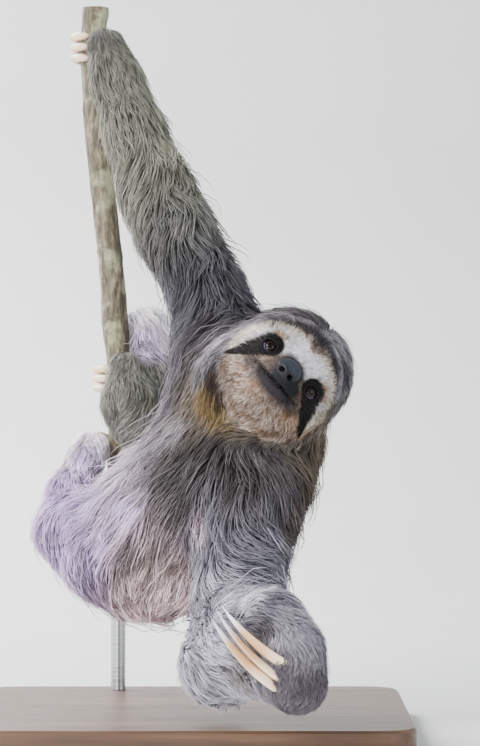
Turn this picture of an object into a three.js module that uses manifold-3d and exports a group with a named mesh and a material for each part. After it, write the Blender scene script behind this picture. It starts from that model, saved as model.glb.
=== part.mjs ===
// A brown-throated three-toed sloth (Bradypus variegatus), life size, hanging from an upright
// stem by one hand and both feet, with the other arm let down in front of it. A short length of
// the stem is kept as its perch, and a flat base with one rod holds the stem up.
//
// Millimetres, +Z up. The sloth looks along -Y. The origin is the centre of the base's underside.
// The body is one smooth field round named joints. Each node is the stretch of that field between
// thin flat cuts, so neighbours meet face to face. Radii reach to the tips of the coat.

import * as THREE from 'three';
import { mergeVertices } from 'three/addons/utils/BufferGeometryUtils.js';
import Module from 'manifold-3d';

const wasm = await Module();
wasm.setup();

// ---------------------------------------------------------------- driving dimensions

const CUT = 0.6; // thickness of the cuts that part one node from the next
const CLEARANCE = 0.35; // room between a node and what it grips or holds
const WELD = 0.02; // vertices closer than this are one
const BODY_CELL = 18; // facet size on the trunk
const LIMB_CELL = 16; // facet size on arms and legs
const FOOT_CELL = 12.5; // facet size on hands and feet
const TAIL_CELL = 8; // facet size on the tail
const HEAD_CELL = 13.3; // facet size on the head
const SNOUT_CELL = 7; // facet size on the snout
const LIMB_BLEND = 10; // how softly one stretch of a limb runs into the next
const ROOT_BLEND = 26; // how softly a limb runs into the trunk

const BASE = { width: 340, depth: 280, height: 20, corner: 24, bevel: 2, cornerSteps: 5 };
const ROD = { radius: 6, sides: 20 };
const COLLAR = { radius: 13.6, height: 9, neck: 9.5, shoulder: 4 };
const STEM = { radius: 10.5, sides: 8, steps: 16, foot: 172 };
const SAW_BLOCK = 60; // size of the block that cuts the stem's lower end level

// Joints of the animal: x, y, z and the radius of the furred body there.
const JOINTS = {
  pelvis: [-57, 59, 140, 43],
  loin: [-17, 17, 165, 54],
  belly: [-14, 4, 142, 49],
  chest: [25, -32, 192, 51],
  back: [7, 20, 213, 44],
  neckBase: [46, -32, 229, 47],
  neckTop: [50, -36, 254, 43],
  nape: [67, -28, 234, 38],

  tailRoot: [-86, 90, 130, 15],
  tailTip: [-102, 112, 122, 11],

  leftShoulder: [55, -70, 196, 42],
  leftUpperArm: [42, -86, 140, 35],
  leftElbow: [25, -86, 62, 30],
  leftForearm: [45, -127, 93, 29],
  leftHeel: [50, -120, 60, 18],
  leftWrist: [64, -160, 102, 23],
  leftPalm: [81, -183, 84, 19],
  leftKnuckles: [80.5, -189, 59.5, 19.5],

  rightShoulder: [32, -2, 285, 38],
  rightUpperArm: [14, 18, 344, 33],
  rightArmBend: [-11, 38, 393, 33],
  rightElbow: [-25, 54, 422, 33],
  rightForearm: [-45, 72, 475, 27],
  rightWrist: [-60, 86, 517, 23],
  rightPalm: [-69, 94, 546, 17],

  leftHip: [-40, 18, 126, 40],
  leftThigh: [-70, 16, 138, 35],
  leftKnee: [-98, 28, 156, 26],
  leftShin: [-97, 60, 182, 20],
  leftAnkle: [-88, 82, 203, 16],
  leftSole: [-81, 96, 219, 16],

  rightHip: [-4, 84, 184, 33],
  rightThigh: [-2, 126, 250, 25],
  rightKnee: [-38, 141, 315, 21.5],
  rightShin: [-38, 106, 272, 18],
  rightAnkle: [-46, 80, 238, 17],
  rightInstep: [-50, 82, 256, 22.5],
  rightSole: [-53, 90, 286, 14],
};

// The head has its own frame: a to its left, b up and c forward from the middle of the head.
const HEAD = {
  at: new THREE.Vector3(73, -60, 279),
  roll: 48.7, // degrees that the head leans towards its left shoulder
  pitch: 15, // degrees that the face is lifted
  reach: 78, // half size of the box round the whole head
};

// Forms of the head: middle a, b, c, and half sizes along a, b, c.
const HEAD_FORMS = {
  hood: [1, 7, -6, 51, 51, 44],
  ruff: [0, -22, -9, 55, 50, 38],
  cheeks: [0, -10, 6, 47, 40, 36],
  brow: [0, 10, 16, 36, 26, 25],
  snout: [0, -13, 36, 17, 15, 15],
  chin: [0, -27, 28, 15, 11, 14],
};
const HEAD_BLEND = 9;

const EYE = { across: 22.5, up: -3.3, forward: 35.5, radius: 6.6 };
const NOSE = { up: -9.5, middle: 47.6, halfWidth: 9.5, halfHeight: 7, depth: 9 };
const MOUTH = { up: -19.5, slope: 0.12, block: 120 };
// The plug that parts the snout from the head: it widens forward, and `reach` is round its middle.
const SNOUT_PLUG = { up: -14, from: 26, to: 62, innerRadius: 14.25, radius: 19, sides: 16, reach: 30 };
const BALL = { around: 10, rings: 7 }; // facets of the eyeballs and the nose

// The perch: the middle line of the stem from its lower to its upper cut end.
const STEM_LINE = [
  [-60, 115, 160],
  [-59, 116, 225],
  [-60, 115, 300],
  [-66, 115, 375],
  [-74, 114, 430],
  [-78, 115, 500],
  [-79, 115, 580],
];

// ---------------------------------------------------------------- fields

const FAR = 1000; // farther than any distance in the model

const clamp = THREE.MathUtils.clamp;
const at = (name) => new THREE.Vector3(...JOINTS[name]);
const radiusOf = (name) => JOINTS[name][3];

// Smooth union of two signed distances: the join is rounded over the length `blend`.
function blendOf(first, second, blend) {
  const near = Math.max(blend - Math.abs(first - second), 0) / blend;
  return Math.min(first, second) - (near * near * blend) / 4;
}

// Signed distance to the tapered stretch between two joints.
function stretchField(from, to) {
  const start = at(from);
  const along = at(to).sub(start);
  const lengthSq = along.lengthSq();
  const [r0, r1] = [radiusOf(from), radiusOf(to)];
  const offset = new THREE.Vector3();
  return (p) => {
    offset.copy(p).sub(start);
    const t = clamp(offset.dot(along) / lengthSq, 0, 1);
    return offset.addScaledVector(along, -t).length() - (r0 + (r1 - r0) * t);
  };
}

function union(fields, blend) {
  return (p) => fields.reduce((sum, field) => blendOf(sum, field(p), blend), FAR);
}

// A chain of joints, each stretch blended into the next.
function chain(...names) {
  const stretches = names.slice(1).map((name, i) => stretchField(names[i], name));
  return union(stretches, LIMB_BLEND);
}

const rollAngle = THREE.MathUtils.degToRad(HEAD.roll);
const pitchAngle = THREE.MathUtils.degToRad(HEAD.pitch);
const headLeft = new THREE.Vector3(Math.cos(rollAngle), 0, -Math.sin(rollAngle));
const crown = new THREE.Vector3(Math.sin(rollAngle), 0, Math.cos(rollAngle));
const back = new THREE.Vector3(0, 1, 0);
const headUp = crown.clone()
  .multiplyScalar(Math.cos(pitchAngle))
  .addScaledVector(back, Math.sin(pitchAngle));
const headForward = headLeft.clone().cross(headUp);

const headPoint = (a, b, c) => HEAD.at.clone()
  .addScaledVector(headLeft, a)
  .addScaledVector(headUp, b)
  .addScaledVector(headForward, c);

// Approximate signed distance to an ellipsoid that lies along the head's own axes.
function headForm([a, b, c, halfA, halfB, halfC]) {
  const middle = headPoint(a, b, c);
  const offset = new THREE.Vector3();
  return (p) => {
    offset.copy(p).sub(middle);
    const u = offset.dot(headLeft);
    const v = offset.dot(headUp);
    const w = offset.dot(headForward);
    const k1 = Math.hypot(u / halfA, v / halfB, w / halfC);
    const k2 = Math.hypot(u / halfA ** 2, v / halfB ** 2, w / halfC ** 2);
    return k2 > 0 ? (k1 * (k1 - 1)) / k2 : -Math.min(halfA, halfB, halfC);
  };
}

const FIELDS = {
  trunk: union([chain('pelvis', 'loin', 'chest'), chain('pelvis', 'belly', 'chest')], LIMB_BLEND),
  neck: union([chain('chest', 'neckBase', 'neckTop'), chain('chest', 'nape', 'neckTop')], LIMB_BLEND),
  shoulders: union([chain('neckBase', 'rightShoulder'), chain('loin', 'back', 'rightShoulder')], LIMB_BLEND),
  head: union(Object.values(HEAD_FORMS).map(headForm), HEAD_BLEND),
  tail: chain('tailRoot', 'tailTip'),
  leftArm: chain('leftShoulder', 'leftUpperArm', 'leftElbow', 'leftForearm', 'leftWrist'),
  leftHand: union(
    [chain('leftWrist', 'leftPalm', 'leftKnuckles'), chain('leftElbow', 'leftHeel', 'leftKnuckles')],
    LIMB_BLEND,
  ),
  rightArm: chain(
    'rightShoulder',
    'rightUpperArm',
    'rightArmBend',
    'rightElbow',
    'rightForearm',
    'rightWrist',
  ),
  rightHand: chain('rightWrist', 'rightPalm'),
  leftLeg: chain('leftHip', 'leftThigh', 'leftKnee', 'leftShin', 'leftAnkle'),
  leftFoot: chain('leftAnkle', 'leftSole'),
  rightLeg: chain('rightHip', 'rightThigh', 'rightKnee'),
  rightShank: chain('rightKnee', 'rightShin', 'rightAnkle'),
  rightFoot: chain('rightAnkle', 'rightInstep', 'rightSole'),
};

// ---------------------------------------------------------------- solids

const SAME_CORNER = 0.001; // corners of a solid closer than this are one

const solidFrom = (positions, triangles) => new wasm.Manifold(new wasm.Mesh({
  numProp: 3,
  vertProperties: Float32Array.from(positions),
  triVerts: Uint32Array.from(triangles),
}));

function solidOf(geometry) {
  const bare = geometry.clone();
  bare.deleteAttribute('normal');
  bare.deleteAttribute('uv');
  const merged = mergeVertices(bare, SAME_CORNER);
  return solidFrom(merged.attributes.position.array, merged.index.array);
}

// A solid's surface, with vertices closer than WELD made one and the triangles between them left out.
function geometryOf(solid) {
  const { vertProperties, triVerts } = solid.getMesh();
  const cut = new THREE.BufferGeometry();
  cut.setAttribute('position', new THREE.Float32BufferAttribute(vertProperties, 3));
  cut.setIndex(Array.from(triVerts));
  const geometry = mergeVertices(cut, WELD);
  const corners = geometry.index.array;
  const kept = [];
  for (let first = 0; first < corners.length; first += 3) {
    const [a, b, c] = corners.slice(first, first + 3);
    if (a !== b && b !== c && c !== a) kept.push(a, b, c);
  }
  geometry.setIndex(kept);
  geometry.computeVertexNormals();
  return geometry;
}

const CORNERS = [];
for (let corner = 0; corner < 8; corner += 1) {
  CORNERS.push([corner & 1, (corner >> 1) & 1, (corner >> 2) & 1]);
}
const EDGES = [];
for (let first = 0; first < 8; first += 1) {
  for (const bit of [1, 2, 4]) {
    if (!(first & bit)) EDGES.push([first, first | bit]);
  }
}

// A grid over a box: how many points it has each way, and the number and place of each.
function gridOver(low, high, cell) {
  const count = [0, 1, 2].map((axis) => Math.ceil((high[axis] - low[axis]) / cell) + 1);
  const index = (i, j, k) => i + count[0] * (j + count[1] * k);
  const place = (i, j, k) => new THREE.Vector3(low[0] + i * cell, low[1] + j * cell, low[2] + k * cell);
  return { count, index, place, cell };
}

function forEachCell(count, visit) {
  for (let k = 0; k < count[2] - 1; k += 1) {
    for (let j = 0; j < count[1] - 1; j += 1) {
      for (let i = 0; i < count[0] - 1; i += 1) visit(i, j, k);
    }
  }
}

// The field at each grid point, with the grid's rim counted as outside, so that the surface closes.
function sampled(field, grid) {
  const { count, index, place, cell } = grid;
  const values = new Float64Array(count[0] * count[1] * count[2]).fill(cell);
  forEachCell(count, (i, j, k) => {
    if (i > 0 && j > 0 && k > 0) values[index(i, j, k)] = field(place(i, j, k));
  });
  return values;
}

const DRAW = { rounds: 4, probe: 0.05, leastSlope: 0.2 }; // how a corner is drawn onto the surface

// Moves a cell's corner onto the surface, without leaving the cell whose lowest corner is `floor`.
function drawOnto(field, point, floor, cell) {
  const step = cell * DRAW.probe;
  const probe = new THREE.Vector3();
  const slope = new THREE.Vector3();
  for (let round = 0; round < DRAW.rounds; round += 1) {
    const value = field(point);
    for (const axis of ['x', 'y', 'z']) {
      probe.copy(point);
      probe[axis] += step;
      slope[axis] = (field(probe) - value) / step;
    }
    point.addScaledVector(slope, -value / Math.max(slope.lengthSq(), DRAW.leastSlope));
    for (const axis of ['x', 'y', 'z']) point[axis] = clamp(point[axis], floor[axis], floor[axis] + cell);
  }
}

// The middle of the places where the surface crosses a cell's edges, or null where it crosses none.
function crossingOf(corner, floor, cell) {
  const middle = new THREE.Vector3();
  let crossings = 0;
  for (const [first, second] of EDGES) {
    const [v0, v1] = [corner[first], corner[second]];
    if (v0 < 0 === v1 < 0) continue;
    const share = v0 / (v0 - v1);
    const start = new THREE.Vector3(...CORNERS[first]);
    middle.add(start.lerp(new THREE.Vector3(...CORNERS[second]), share));
    crossings += 1;
  }
  return crossings === 0 ? null : middle.multiplyScalar(cell / crossings).add(floor);
}

// Closed surface of a field inside a box: one corner in each cell that the surface crosses, and
// one quad, as two triangles, round each grid edge that it crosses.
function surfaceOf(field, low, high, cell) {
  const grid = gridOver(low, high, cell);
  const { count, index, place } = grid;
  const values = sampled(field, grid);
  const inRim = (i, j, k) => [i, j, k].some((n, axis) => n === 0 || n === count[axis] - 2);
  const positions = [];
  const cornerOfCell = new Map();
  forEachCell(count, (i, j, k) => {
    const corner = CORNERS.map(([x, y, z]) => values[index(i + x, j + y, k + z)]);
    const floor = place(i, j, k);
    const point = crossingOf(corner, floor, cell);
    if (!point) return;
    if (!inRim(i, j, k)) drawOnto(field, point, floor, cell);
    cornerOfCell.set(index(i, j, k), positions.length / 3);
    positions.push(point.x, point.y, point.z);
  });
  const triangles = [];
  const span = (a, b) => Math.hypot(...[0, 1, 2].map((n) => positions[3 * a + n] - positions[3 * b + n]));
  const addQuad = (a, b, c, d) => {
    if (span(a, c) < span(b, d)) triangles.push(a, b, c, a, c, d);
    else triangles.push(b, c, d, b, d, a);
  };
  const unit = [index(1, 0, 0), index(0, 1, 0), index(0, 0, 1)];
  forEachCell(count, (i, j, k) => {
    const here = index(i, j, k);
    const cellPlace = [i, j, k];
    for (let axis = 0; axis < 3; axis += 1) {
      const [next, last] = [(axis + 1) % 3, (axis + 2) % 3];
      if (cellPlace[next] === 0 || cellPlace[last] === 0) continue;
      const solidHere = values[here] < 0;
      if (solidHere === values[here + unit[axis]] < 0) continue;
      const [u, v] = [unit[next], unit[last]];
      const ring = [here - u - v, here - v, here, here - u].map((n) => cornerOfCell.get(n));
      addQuad(...(solidHere ? ring : ring.reverse()));
    }
  });
  return solidFrom(positions, triangles);
}

// ---------------------------------------------------------------- parting blocks

// A block is the space that one node takes from its neighbour: its near face is centred on `at`,
// it runs `length` along `along`, and it is `reach` wide to each side.
const BLOCKS = {
  head: { at: [55, -40, 263], along: [0.52, -0.72, 0.42], reach: 84, length: 130 },
  neck: { at: [31, -33, 214], along: [0.4, 0.02, 0.92], reach: 80, length: 110 },
  rightArm: { at: [25, 8, 294], along: [-0.34, 0.42, 0.84], reach: 60, length: 300 },
  rightForearm: { at: [-22, 53, 426], along: [-0.37, 0.34, 0.86], reach: 50, length: 150 },
  rightHand: { at: [-60, 86, 517], along: [-0.3, 0.28, 0.91], reach: 45, length: 60 },
  leftArm: { at: [46, -76, 172], along: [-0.05, -0.5, -0.86], reach: 58, length: 150 },
  leftForearm: { at: [30, -98, 70], along: [0.15, -0.86, -0.49], reach: 80, length: 130 },
  leftHand: { at: [69, -164, 100], along: [0.62, -0.62, -0.48], reach: 50, length: 70 },
  leftThigh: { at: [-42, -12, 130], along: [-1, 0, 0], reach: 56, length: 100 },
  leftShank: { at: [-98, 36, 163], along: [0.04, 0.78, 0.62], reach: 36, length: 90 },
  leftFoot: { at: [-87, 84, 205], along: [0.3, 0.6, 0.74], reach: 30, length: 60 },
  rightThigh: { at: [-4, 104, 220], along: [0, 0.6, 0.8], reach: 48, length: 130 },
  rightShank: { at: [-31, 128, 290], along: [-0.74, -0.65, -0.14], reach: 60, length: 90 },
  rightFoot: { at: [-40, 97, 262], along: [-0.5, -0.85, 0.1], reach: 50, length: 80 },
  tail: { at: [-85, 89, 130], along: [-0.56, 0.78, -0.28], reach: 22, length: 60 },
};

function blockSolid({ at: [x, y, z], along, reach, length }, grow = 0) {
  const wide = 2 * (reach + grow);
  const geometry = new THREE.BoxGeometry(wide, wide, length + 2 * grow);
  geometry.translate(0, 0, length / 2);
  const direction = new THREE.Vector3(...along).normalize();
  const turn = new THREE.Quaternion().setFromUnitVectors(new THREE.Vector3(0, 0, 1), direction);
  geometry.applyQuaternion(turn);
  geometry.translate(x, y, z);
  return solidOf(geometry);
}

// The largest separate piece of a solid: cuts may leave slivers beside it.
function mainPiece(solid) {
  const pieces = solid.decompose();
  return pieces.reduce((best, piece) => (piece.volume() > best.volume() ? piece : best));
}

const MARGIN_CELLS = 3; // cells between the joints' own reach and the edge of a node's grid

// The stretch of a field inside some blocks and outside others.
function stretch({ names, joints, inside = [], outside = [], cell }) {
  const field = union(names.map((name) => FIELDS[name]), ROOT_BLEND);
  const box = new THREE.Box3();
  for (const name of joints) {
    const reach = radiusOf(name) + MARGIN_CELLS * cell;
    box.expandByPoint(at(name).addScalar(reach));
    box.expandByPoint(at(name).subScalar(reach));
  }
  let solid = surfaceOf(field, box.min.toArray(), box.max.toArray(), cell);
  for (const name of inside) solid = solid.intersect(blockSolid(BLOCKS[name]));
  for (const name of outside) solid = solid.subtract(blockSolid(BLOCKS[name], CUT));
  return mainPiece(solid);
}

// ---------------------------------------------------------------- perch and stand

const stemLine = new THREE.CatmullRomCurve3(STEM_LINE.map((p) => new THREE.Vector3(...p)));

function stemGeometry(radius) {
  const ring = new THREE.Shape();
  for (let side = 0; side < STEM.sides; side += 1) {
    const angle = (2 * Math.PI * side) / STEM.sides;
    const point = [radius * Math.cos(angle), radius * Math.sin(angle)];
    if (side === 0) ring.moveTo(...point);
    else ring.lineTo(...point);
  }
  ring.closePath();
  return new THREE.ExtrudeGeometry(ring, { steps: STEM.steps, extrudePath: stemLine, bevelEnabled: false });
}

const stemFoot = new THREE.Vector3(STEM_LINE[0][0], STEM_LINE[0][1], STEM.foot);

// The stem with its lower end sawn off level.
function stemSolid() {
  const below = new THREE.BoxGeometry(SAW_BLOCK, SAW_BLOCK, SAW_BLOCK);
  below.translate(stemFoot.x, stemFoot.y, stemFoot.z - SAW_BLOCK / 2);
  return solidOf(stemGeometry(STEM.radius)).subtract(solidOf(below));
}

function baseGeometry() {
  const { width, depth, height, corner, bevel, cornerSteps } = BASE;
  const [x, y] = [width / 2 - bevel, depth / 2 - bevel];
  const outline = new THREE.Shape();
  outline.moveTo(-x + corner, -y);
  outline.lineTo(x - corner, -y);
  outline.absarc(x - corner, -y + corner, corner, -Math.PI / 2, 0, false);
  outline.absarc(x - corner, y - corner, corner, 0, Math.PI / 2, false);
  outline.absarc(-x + corner, y - corner, corner, Math.PI / 2, Math.PI, false);
  outline.absarc(-x + corner, -y + corner, corner, Math.PI, 1.5 * Math.PI, false);
  const geometry = new THREE.ExtrudeGeometry(outline, {
    depth: height - 2 * bevel,
    bevelThickness: bevel,
    bevelSize: bevel,
    bevelSegments: 1,
    curveSegments: cornerSteps,
  });
  geometry.translate(0, 0, bevel);
  return geometry;
}

function rodGeometry() {
  const length = stemFoot.z - BASE.height - COLLAR.height - 2 * CLEARANCE;
  const geometry = new THREE.CylinderGeometry(ROD.radius, ROD.radius, length, ROD.sides);
  geometry.rotateX(Math.PI / 2);
  geometry.translate(stemFoot.x, stemFoot.y, BASE.height + CLEARANCE + length / 2);
  return geometry;
}

// A turned cup on the rod's upper end, under the stem's cut face.
function collarGeometry() {
  const profile = [
    [0, 0],
    [COLLAR.neck, 0],
    [COLLAR.radius, COLLAR.shoulder],
    [COLLAR.radius, COLLAR.height],
    [0, COLLAR.height],
  ].map(([x, y]) => new THREE.Vector2(x, y));
  const geometry = new THREE.LatheGeometry(profile, ROD.sides);
  geometry.rotateX(Math.PI / 2);
  geometry.translate(stemFoot.x, stemFoot.y, stemFoot.z - COLLAR.height - CLEARANCE);
  return geometry;
}

// ---------------------------------------------------------------- claws

// Each set of three claws: their roots and tips, how their middles are bent aside, and where they
// don't lie flank to flank, the degrees that each is turned on its own length.
const CLAW = { halfDepth: 4.6, halfWidth: 2.3, rings: 5, sides: 6, taper: 2.6 };
const CLAW_SETS = {
  left_hand: {
    roots: [[68.8, -200, 56.5], [73.6, -200, 61], [81, -200, 69.5]],
    tips: [[19.3, -168, 105.5], [22.8, -168, 111], [27, -168, 113.5]],
    bend: [-5.4, -14, -5.9],
    turns: [0, 22, 78],
  },
  right_hand: {
    roots: [[-84, 97, 537], [-84, 97, 546], [-84, 97, 555]],
    tips: [[-80, 143, 532], [-80, 143, 540], [-80, 143, 548]],
    bend: [-27, -2, 6],
  },
  left_foot: {
    roots: [[-77, 107, 214], [-77, 107, 222], [-77, 107, 230]],
    tips: [[-38, 134, 205], [-38, 134, 212], [-38, 134, 219]],
    bend: [-15, 32, 2],
  },
  right_foot: {
    roots: [[-66, 96, 268], [-66, 96, 276], [-66, 96, 284]],
    tips: [[-62, 142, 261], [-62, 142, 268], [-62, 142, 275]],
    bend: [-25, -3, 4],
  },
};
const CLAW_NAMES = ['inner', 'middle', 'outer'];

// One claw: a curved blade, deep and narrow, that tapers to its tip.
function clawGeometry(set, number, grow = 0) {
  const [root, tip, bend] = [set.roots[number], set.tips[number], set.bend]
    .map((values) => new THREE.Vector3(...values));
  const control = root.clone().add(tip).multiplyScalar(0.5).add(bend);
  const line = new THREE.QuadraticBezierCurve3(root, control, tip);
  const across = tip.clone().sub(root).cross(bend).normalize();
  const turned = THREE.MathUtils.degToRad(set.turns ? set.turns[number] : 0);
  const positions = [];
  const point = new THREE.Vector3();
  for (let ring = 0; ring < CLAW.rings; ring += 1) {
    const t = ring / CLAW.rings;
    const taper = 1 - t ** CLAW.taper;
    const tangent = line.getTangent(t);
    const deep = new THREE.Vector3().crossVectors(across, tangent).applyAxisAngle(tangent, turned);
    const side = across.clone().applyAxisAngle(tangent, turned);
    for (let turn = 0; turn < CLAW.sides; turn += 1) {
      const angle = (2 * Math.PI * turn) / CLAW.sides;
      line.getPoint(t, point);
      point.addScaledVector(deep, Math.cos(angle) * (CLAW.halfDepth * taper + grow));
      point.addScaledVector(side, Math.sin(angle) * (CLAW.halfWidth * taper + grow));
      positions.push(point.x, point.y, point.z);
    }
  }
  const rootEnd = positions.length / 3;
  line.getTangent(0, point).multiplyScalar(-grow).add(root);
  positions.push(point.x, point.y, point.z);
  line.getTangent(1, point).multiplyScalar(grow).add(tip);
  positions.push(point.x, point.y, point.z);
  const index = [];
  for (let turn = 0; turn < CLAW.sides; turn += 1) {
    const next = (turn + 1) % CLAW.sides;
    index.push(rootEnd, next, turn);
    for (let ring = 0; ring < CLAW.rings - 1; ring += 1) {
      const [a, b] = [ring * CLAW.sides + turn, ring * CLAW.sides + next];
      index.push(a, b, a + CLAW.sides, b, b + CLAW.sides, a + CLAW.sides);
    }
    const last = (CLAW.rings - 1) * CLAW.sides;
    index.push(last + turn, last + next, rootEnd + 1);
  }
  const geometry = new THREE.BufferGeometry();
  geometry.setAttribute('position', new THREE.Float32BufferAttribute(positions, 3));
  geometry.setIndex(index);
  geometry.computeVertexNormals();
  return geometry;
}

const clawSockets = (set) => CLAW_NAMES.map((_, number) => solidOf(clawGeometry(set, number, CLEARANCE)));

// ---------------------------------------------------------------- head

const clearOf = (solid, others) => others.reduce((rest, other) => rest.subtract(other), solid);

// Turns a shape made in the head's frame into place, with its origin at (a, b, c) there.
function placeInHead(geometry, a, b, c) {
  const frame = new THREE.Matrix4().makeBasis(headLeft, headUp, headForward);
  return geometry.applyMatrix4(frame.setPosition(headPoint(a, b, c)));
}

function eyeball(side, grow = 0) {
  const geometry = new THREE.SphereGeometry(EYE.radius + grow, BALL.around, BALL.rings);
  return solidOf(placeInHead(geometry, side * EYE.across, EYE.up, EYE.forward));
}

// A turned plug along the head's forward axis that takes in the snout.
function snoutPlug(grow = 0) {
  const { up, from, to, innerRadius, radius, sides } = SNOUT_PLUG;
  const profile = [
    [0, from - grow],
    [innerRadius + grow, from - grow],
    [radius + grow, to],
    [0, to],
  ].map(([x, y]) => new THREE.Vector2(x, y));
  const geometry = new THREE.LatheGeometry(profile, sides);
  geometry.rotateX(Math.PI / 2);
  return solidOf(placeInHead(geometry, 0, up, 0));
}

// The half of the snout above the mouth line, with the line dropping a little forward.
function aboveMouth(shift) {
  const block = new THREE.BoxGeometry(MOUTH.block, MOUTH.block, MOUTH.block);
  block.translate(0, MOUTH.block / 2 + shift, 0);
  block.rotateX(Math.atan(MOUTH.slope));
  return solidOf(placeInHead(block, 0, MOUTH.up, SNOUT_PLUG.from));
}

function nosePad(grow = 0) {
  const geometry = new THREE.SphereGeometry(1, BALL.around, BALL.rings);
  geometry.scale(NOSE.halfWidth + grow, NOSE.halfHeight + grow, NOSE.depth + grow);
  return solidOf(placeInHead(geometry, 0, NOSE.up, NOSE.middle));
}

function headSolids() {
  const field = union([FIELDS.head, FIELDS.neck], ROOT_BLEND);
  const boxRound = (middle, reach) => [-reach, reach].map((n) => middle.clone().addScalar(n).toArray());
  const sockets = [eyeball(-1, CLEARANCE), eyeball(1, CLEARANCE)];
  const whole = surfaceOf(field, ...boxRound(HEAD.at, HEAD.reach), HEAD_CELL);
  const head = whole.intersect(blockSolid(BLOCKS.head)).subtract(snoutPlug(CUT));

  const { from, to, reach } = SNOUT_PLUG;
  const front = headPoint(0, HEAD_FORMS.snout[1], (from + to) / 2);
  const near = surfaceOf(field, ...boxRound(front, reach), SNOUT_CELL);
  const snout = clearOf(near.intersect(snoutPlug()), [...sockets, nosePad(CLEARANCE)]);
  return {
    head: mainPiece(clearOf(head, sockets)),
    muzzle: mainPiece(snout.intersect(aboveMouth(CUT / 2))),
    jaw: mainPiece(snout.subtract(aboveMouth(-CUT / 2))),
    nose: nosePad(),
    eye_right: eyeball(-1),
    eye_left: eyeball(1),
  };
}

// ---------------------------------------------------------------- the model

const STRETCHES = {
  neck: {
    names: ['trunk', 'neck', 'shoulders', 'head', 'rightArm', 'leftArm'],
    joints: ['neckBase', 'neckTop', 'nape', 'back'],
    inside: ['neck'],
    outside: ['head', 'rightArm'],
    cell: LIMB_CELL,
  },
  trunk: {
    names: ['trunk', 'neck', 'shoulders', 'leftArm', 'leftLeg', 'rightLeg', 'tail'],
    joints: ['pelvis', 'loin', 'belly', 'chest', 'back', 'rightHip'],
    outside: ['neck', 'head', 'rightArm', 'leftArm', 'leftThigh', 'leftShank', 'rightThigh', 'tail'],
    cell: BODY_CELL,
  },
  tail: { names: ['trunk', 'tail'], joints: ['tailRoot', 'tailTip'], inside: ['tail'], cell: TAIL_CELL },
  upper_arm_right: {
    names: ['neck', 'shoulders', 'head', 'rightArm'],
    joints: ['rightShoulder', 'rightUpperArm', 'rightArmBend', 'rightElbow'],
    inside: ['rightArm'],
    outside: ['head', 'rightForearm'],
    cell: LIMB_CELL,
  },
  forearm_right: {
    names: ['rightArm', 'rightHand'],
    joints: ['rightElbow', 'rightForearm', 'rightWrist'],
    inside: ['rightForearm'],
    outside: ['rightHand'],
    cell: LIMB_CELL,
  },
  hand_right: {
    names: ['rightArm', 'rightHand'],
    joints: ['rightWrist', 'rightPalm'],
    inside: ['rightHand'],
    cell: FOOT_CELL,
  },
  upper_arm_left: {
    names: ['trunk', 'leftArm'],
    joints: ['leftShoulder', 'leftUpperArm', 'leftElbow'],
    inside: ['leftArm'],
    outside: ['leftForearm'],
    cell: LIMB_CELL,
  },
  forearm_left: {
    names: ['leftArm', 'leftHand'],
    joints: ['leftElbow', 'leftForearm', 'leftWrist'],
    inside: ['leftForearm'],
    outside: ['leftHand'],
    cell: LIMB_CELL,
  },
  hand_left: {
    names: ['leftArm', 'leftHand'],
    joints: ['leftWrist', 'leftPalm', 'leftKnuckles'],
    inside: ['leftHand'],
    cell: FOOT_CELL,
  },
  thigh_left: {
    names: ['trunk', 'leftLeg'],
    joints: ['leftHip', 'leftThigh', 'leftKnee'],
    inside: ['leftThigh'],
    outside: ['leftShank'],
    cell: LIMB_CELL,
  },
  shank_left: {
    names: ['leftLeg', 'leftFoot'],
    joints: ['leftKnee', 'leftShin', 'leftAnkle'],
    inside: ['leftShank'],
    outside: ['leftFoot'],
    cell: LIMB_CELL,
  },
  foot_left: {
    names: ['leftLeg', 'leftFoot'],
    joints: ['leftAnkle', 'leftSole'],
    inside: ['leftFoot'],
    cell: FOOT_CELL,
  },
  thigh_right: {
    names: ['trunk', 'rightLeg'],
    joints: ['rightThigh', 'rightKnee'],
    inside: ['rightThigh'],
    outside: ['rightShank'],
    cell: LIMB_CELL,
  },
  shank_right: {
    names: ['rightShank', 'rightFoot'],
    joints: ['rightKnee', 'rightShin', 'rightAnkle'],
    inside: ['rightShank'],
    outside: ['rightFoot'],
    cell: LIMB_CELL,
  },
  foot_right: {
    names: ['rightShank', 'rightFoot'],
    joints: ['rightAnkle', 'rightInstep', 'rightSole'],
    inside: ['rightFoot'],
    cell: FOOT_CELL,
  },
};

const GRIPPING = ['forearm_right', 'hand_right', 'foot_left', 'foot_right', 'shank_right'];
const CLAWED = {
  hand_left: 'left_hand',
  hand_right: 'right_hand',
  foot_left: 'left_foot',
  foot_right: 'right_foot',
};

const LOOKS = {
  coat: { color: 0x8d7f72, roughness: 0.95 },
  face: { color: 0xb49a7d, roughness: 0.9 },
  skin: { color: 0x2c2624, roughness: 0.45 },
  eye: { color: 0x16100d, roughness: 0.1 },
  claw: { color: 0xd8c6a2, roughness: 0.4 },
  bark: { color: 0x6d6153, roughness: 0.9 },
  board: { color: 0x3b2d22, roughness: 0.5 },
  steel: { color: 0x8c8f93, roughness: 0.3, metalness: 1 },
};
const HEAD_LOOKS = {
  head: 'coat',
  muzzle: 'face',
  jaw: 'skin',
  nose: 'skin',
  eye_right: 'eye',
  eye_left: 'eye',
};

const sloth = new THREE.Group();

function addMesh(name, geometry, look) {
  const mesh = new THREE.Mesh(geometry, new THREE.MeshStandardMaterial(LOOKS[look]));
  mesh.name = name;
  sloth.add(mesh);
}

for (const [name, solid] of Object.entries(headSolids())) {
  addMesh(name, geometryOf(solid), HEAD_LOOKS[name]);
}

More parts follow.
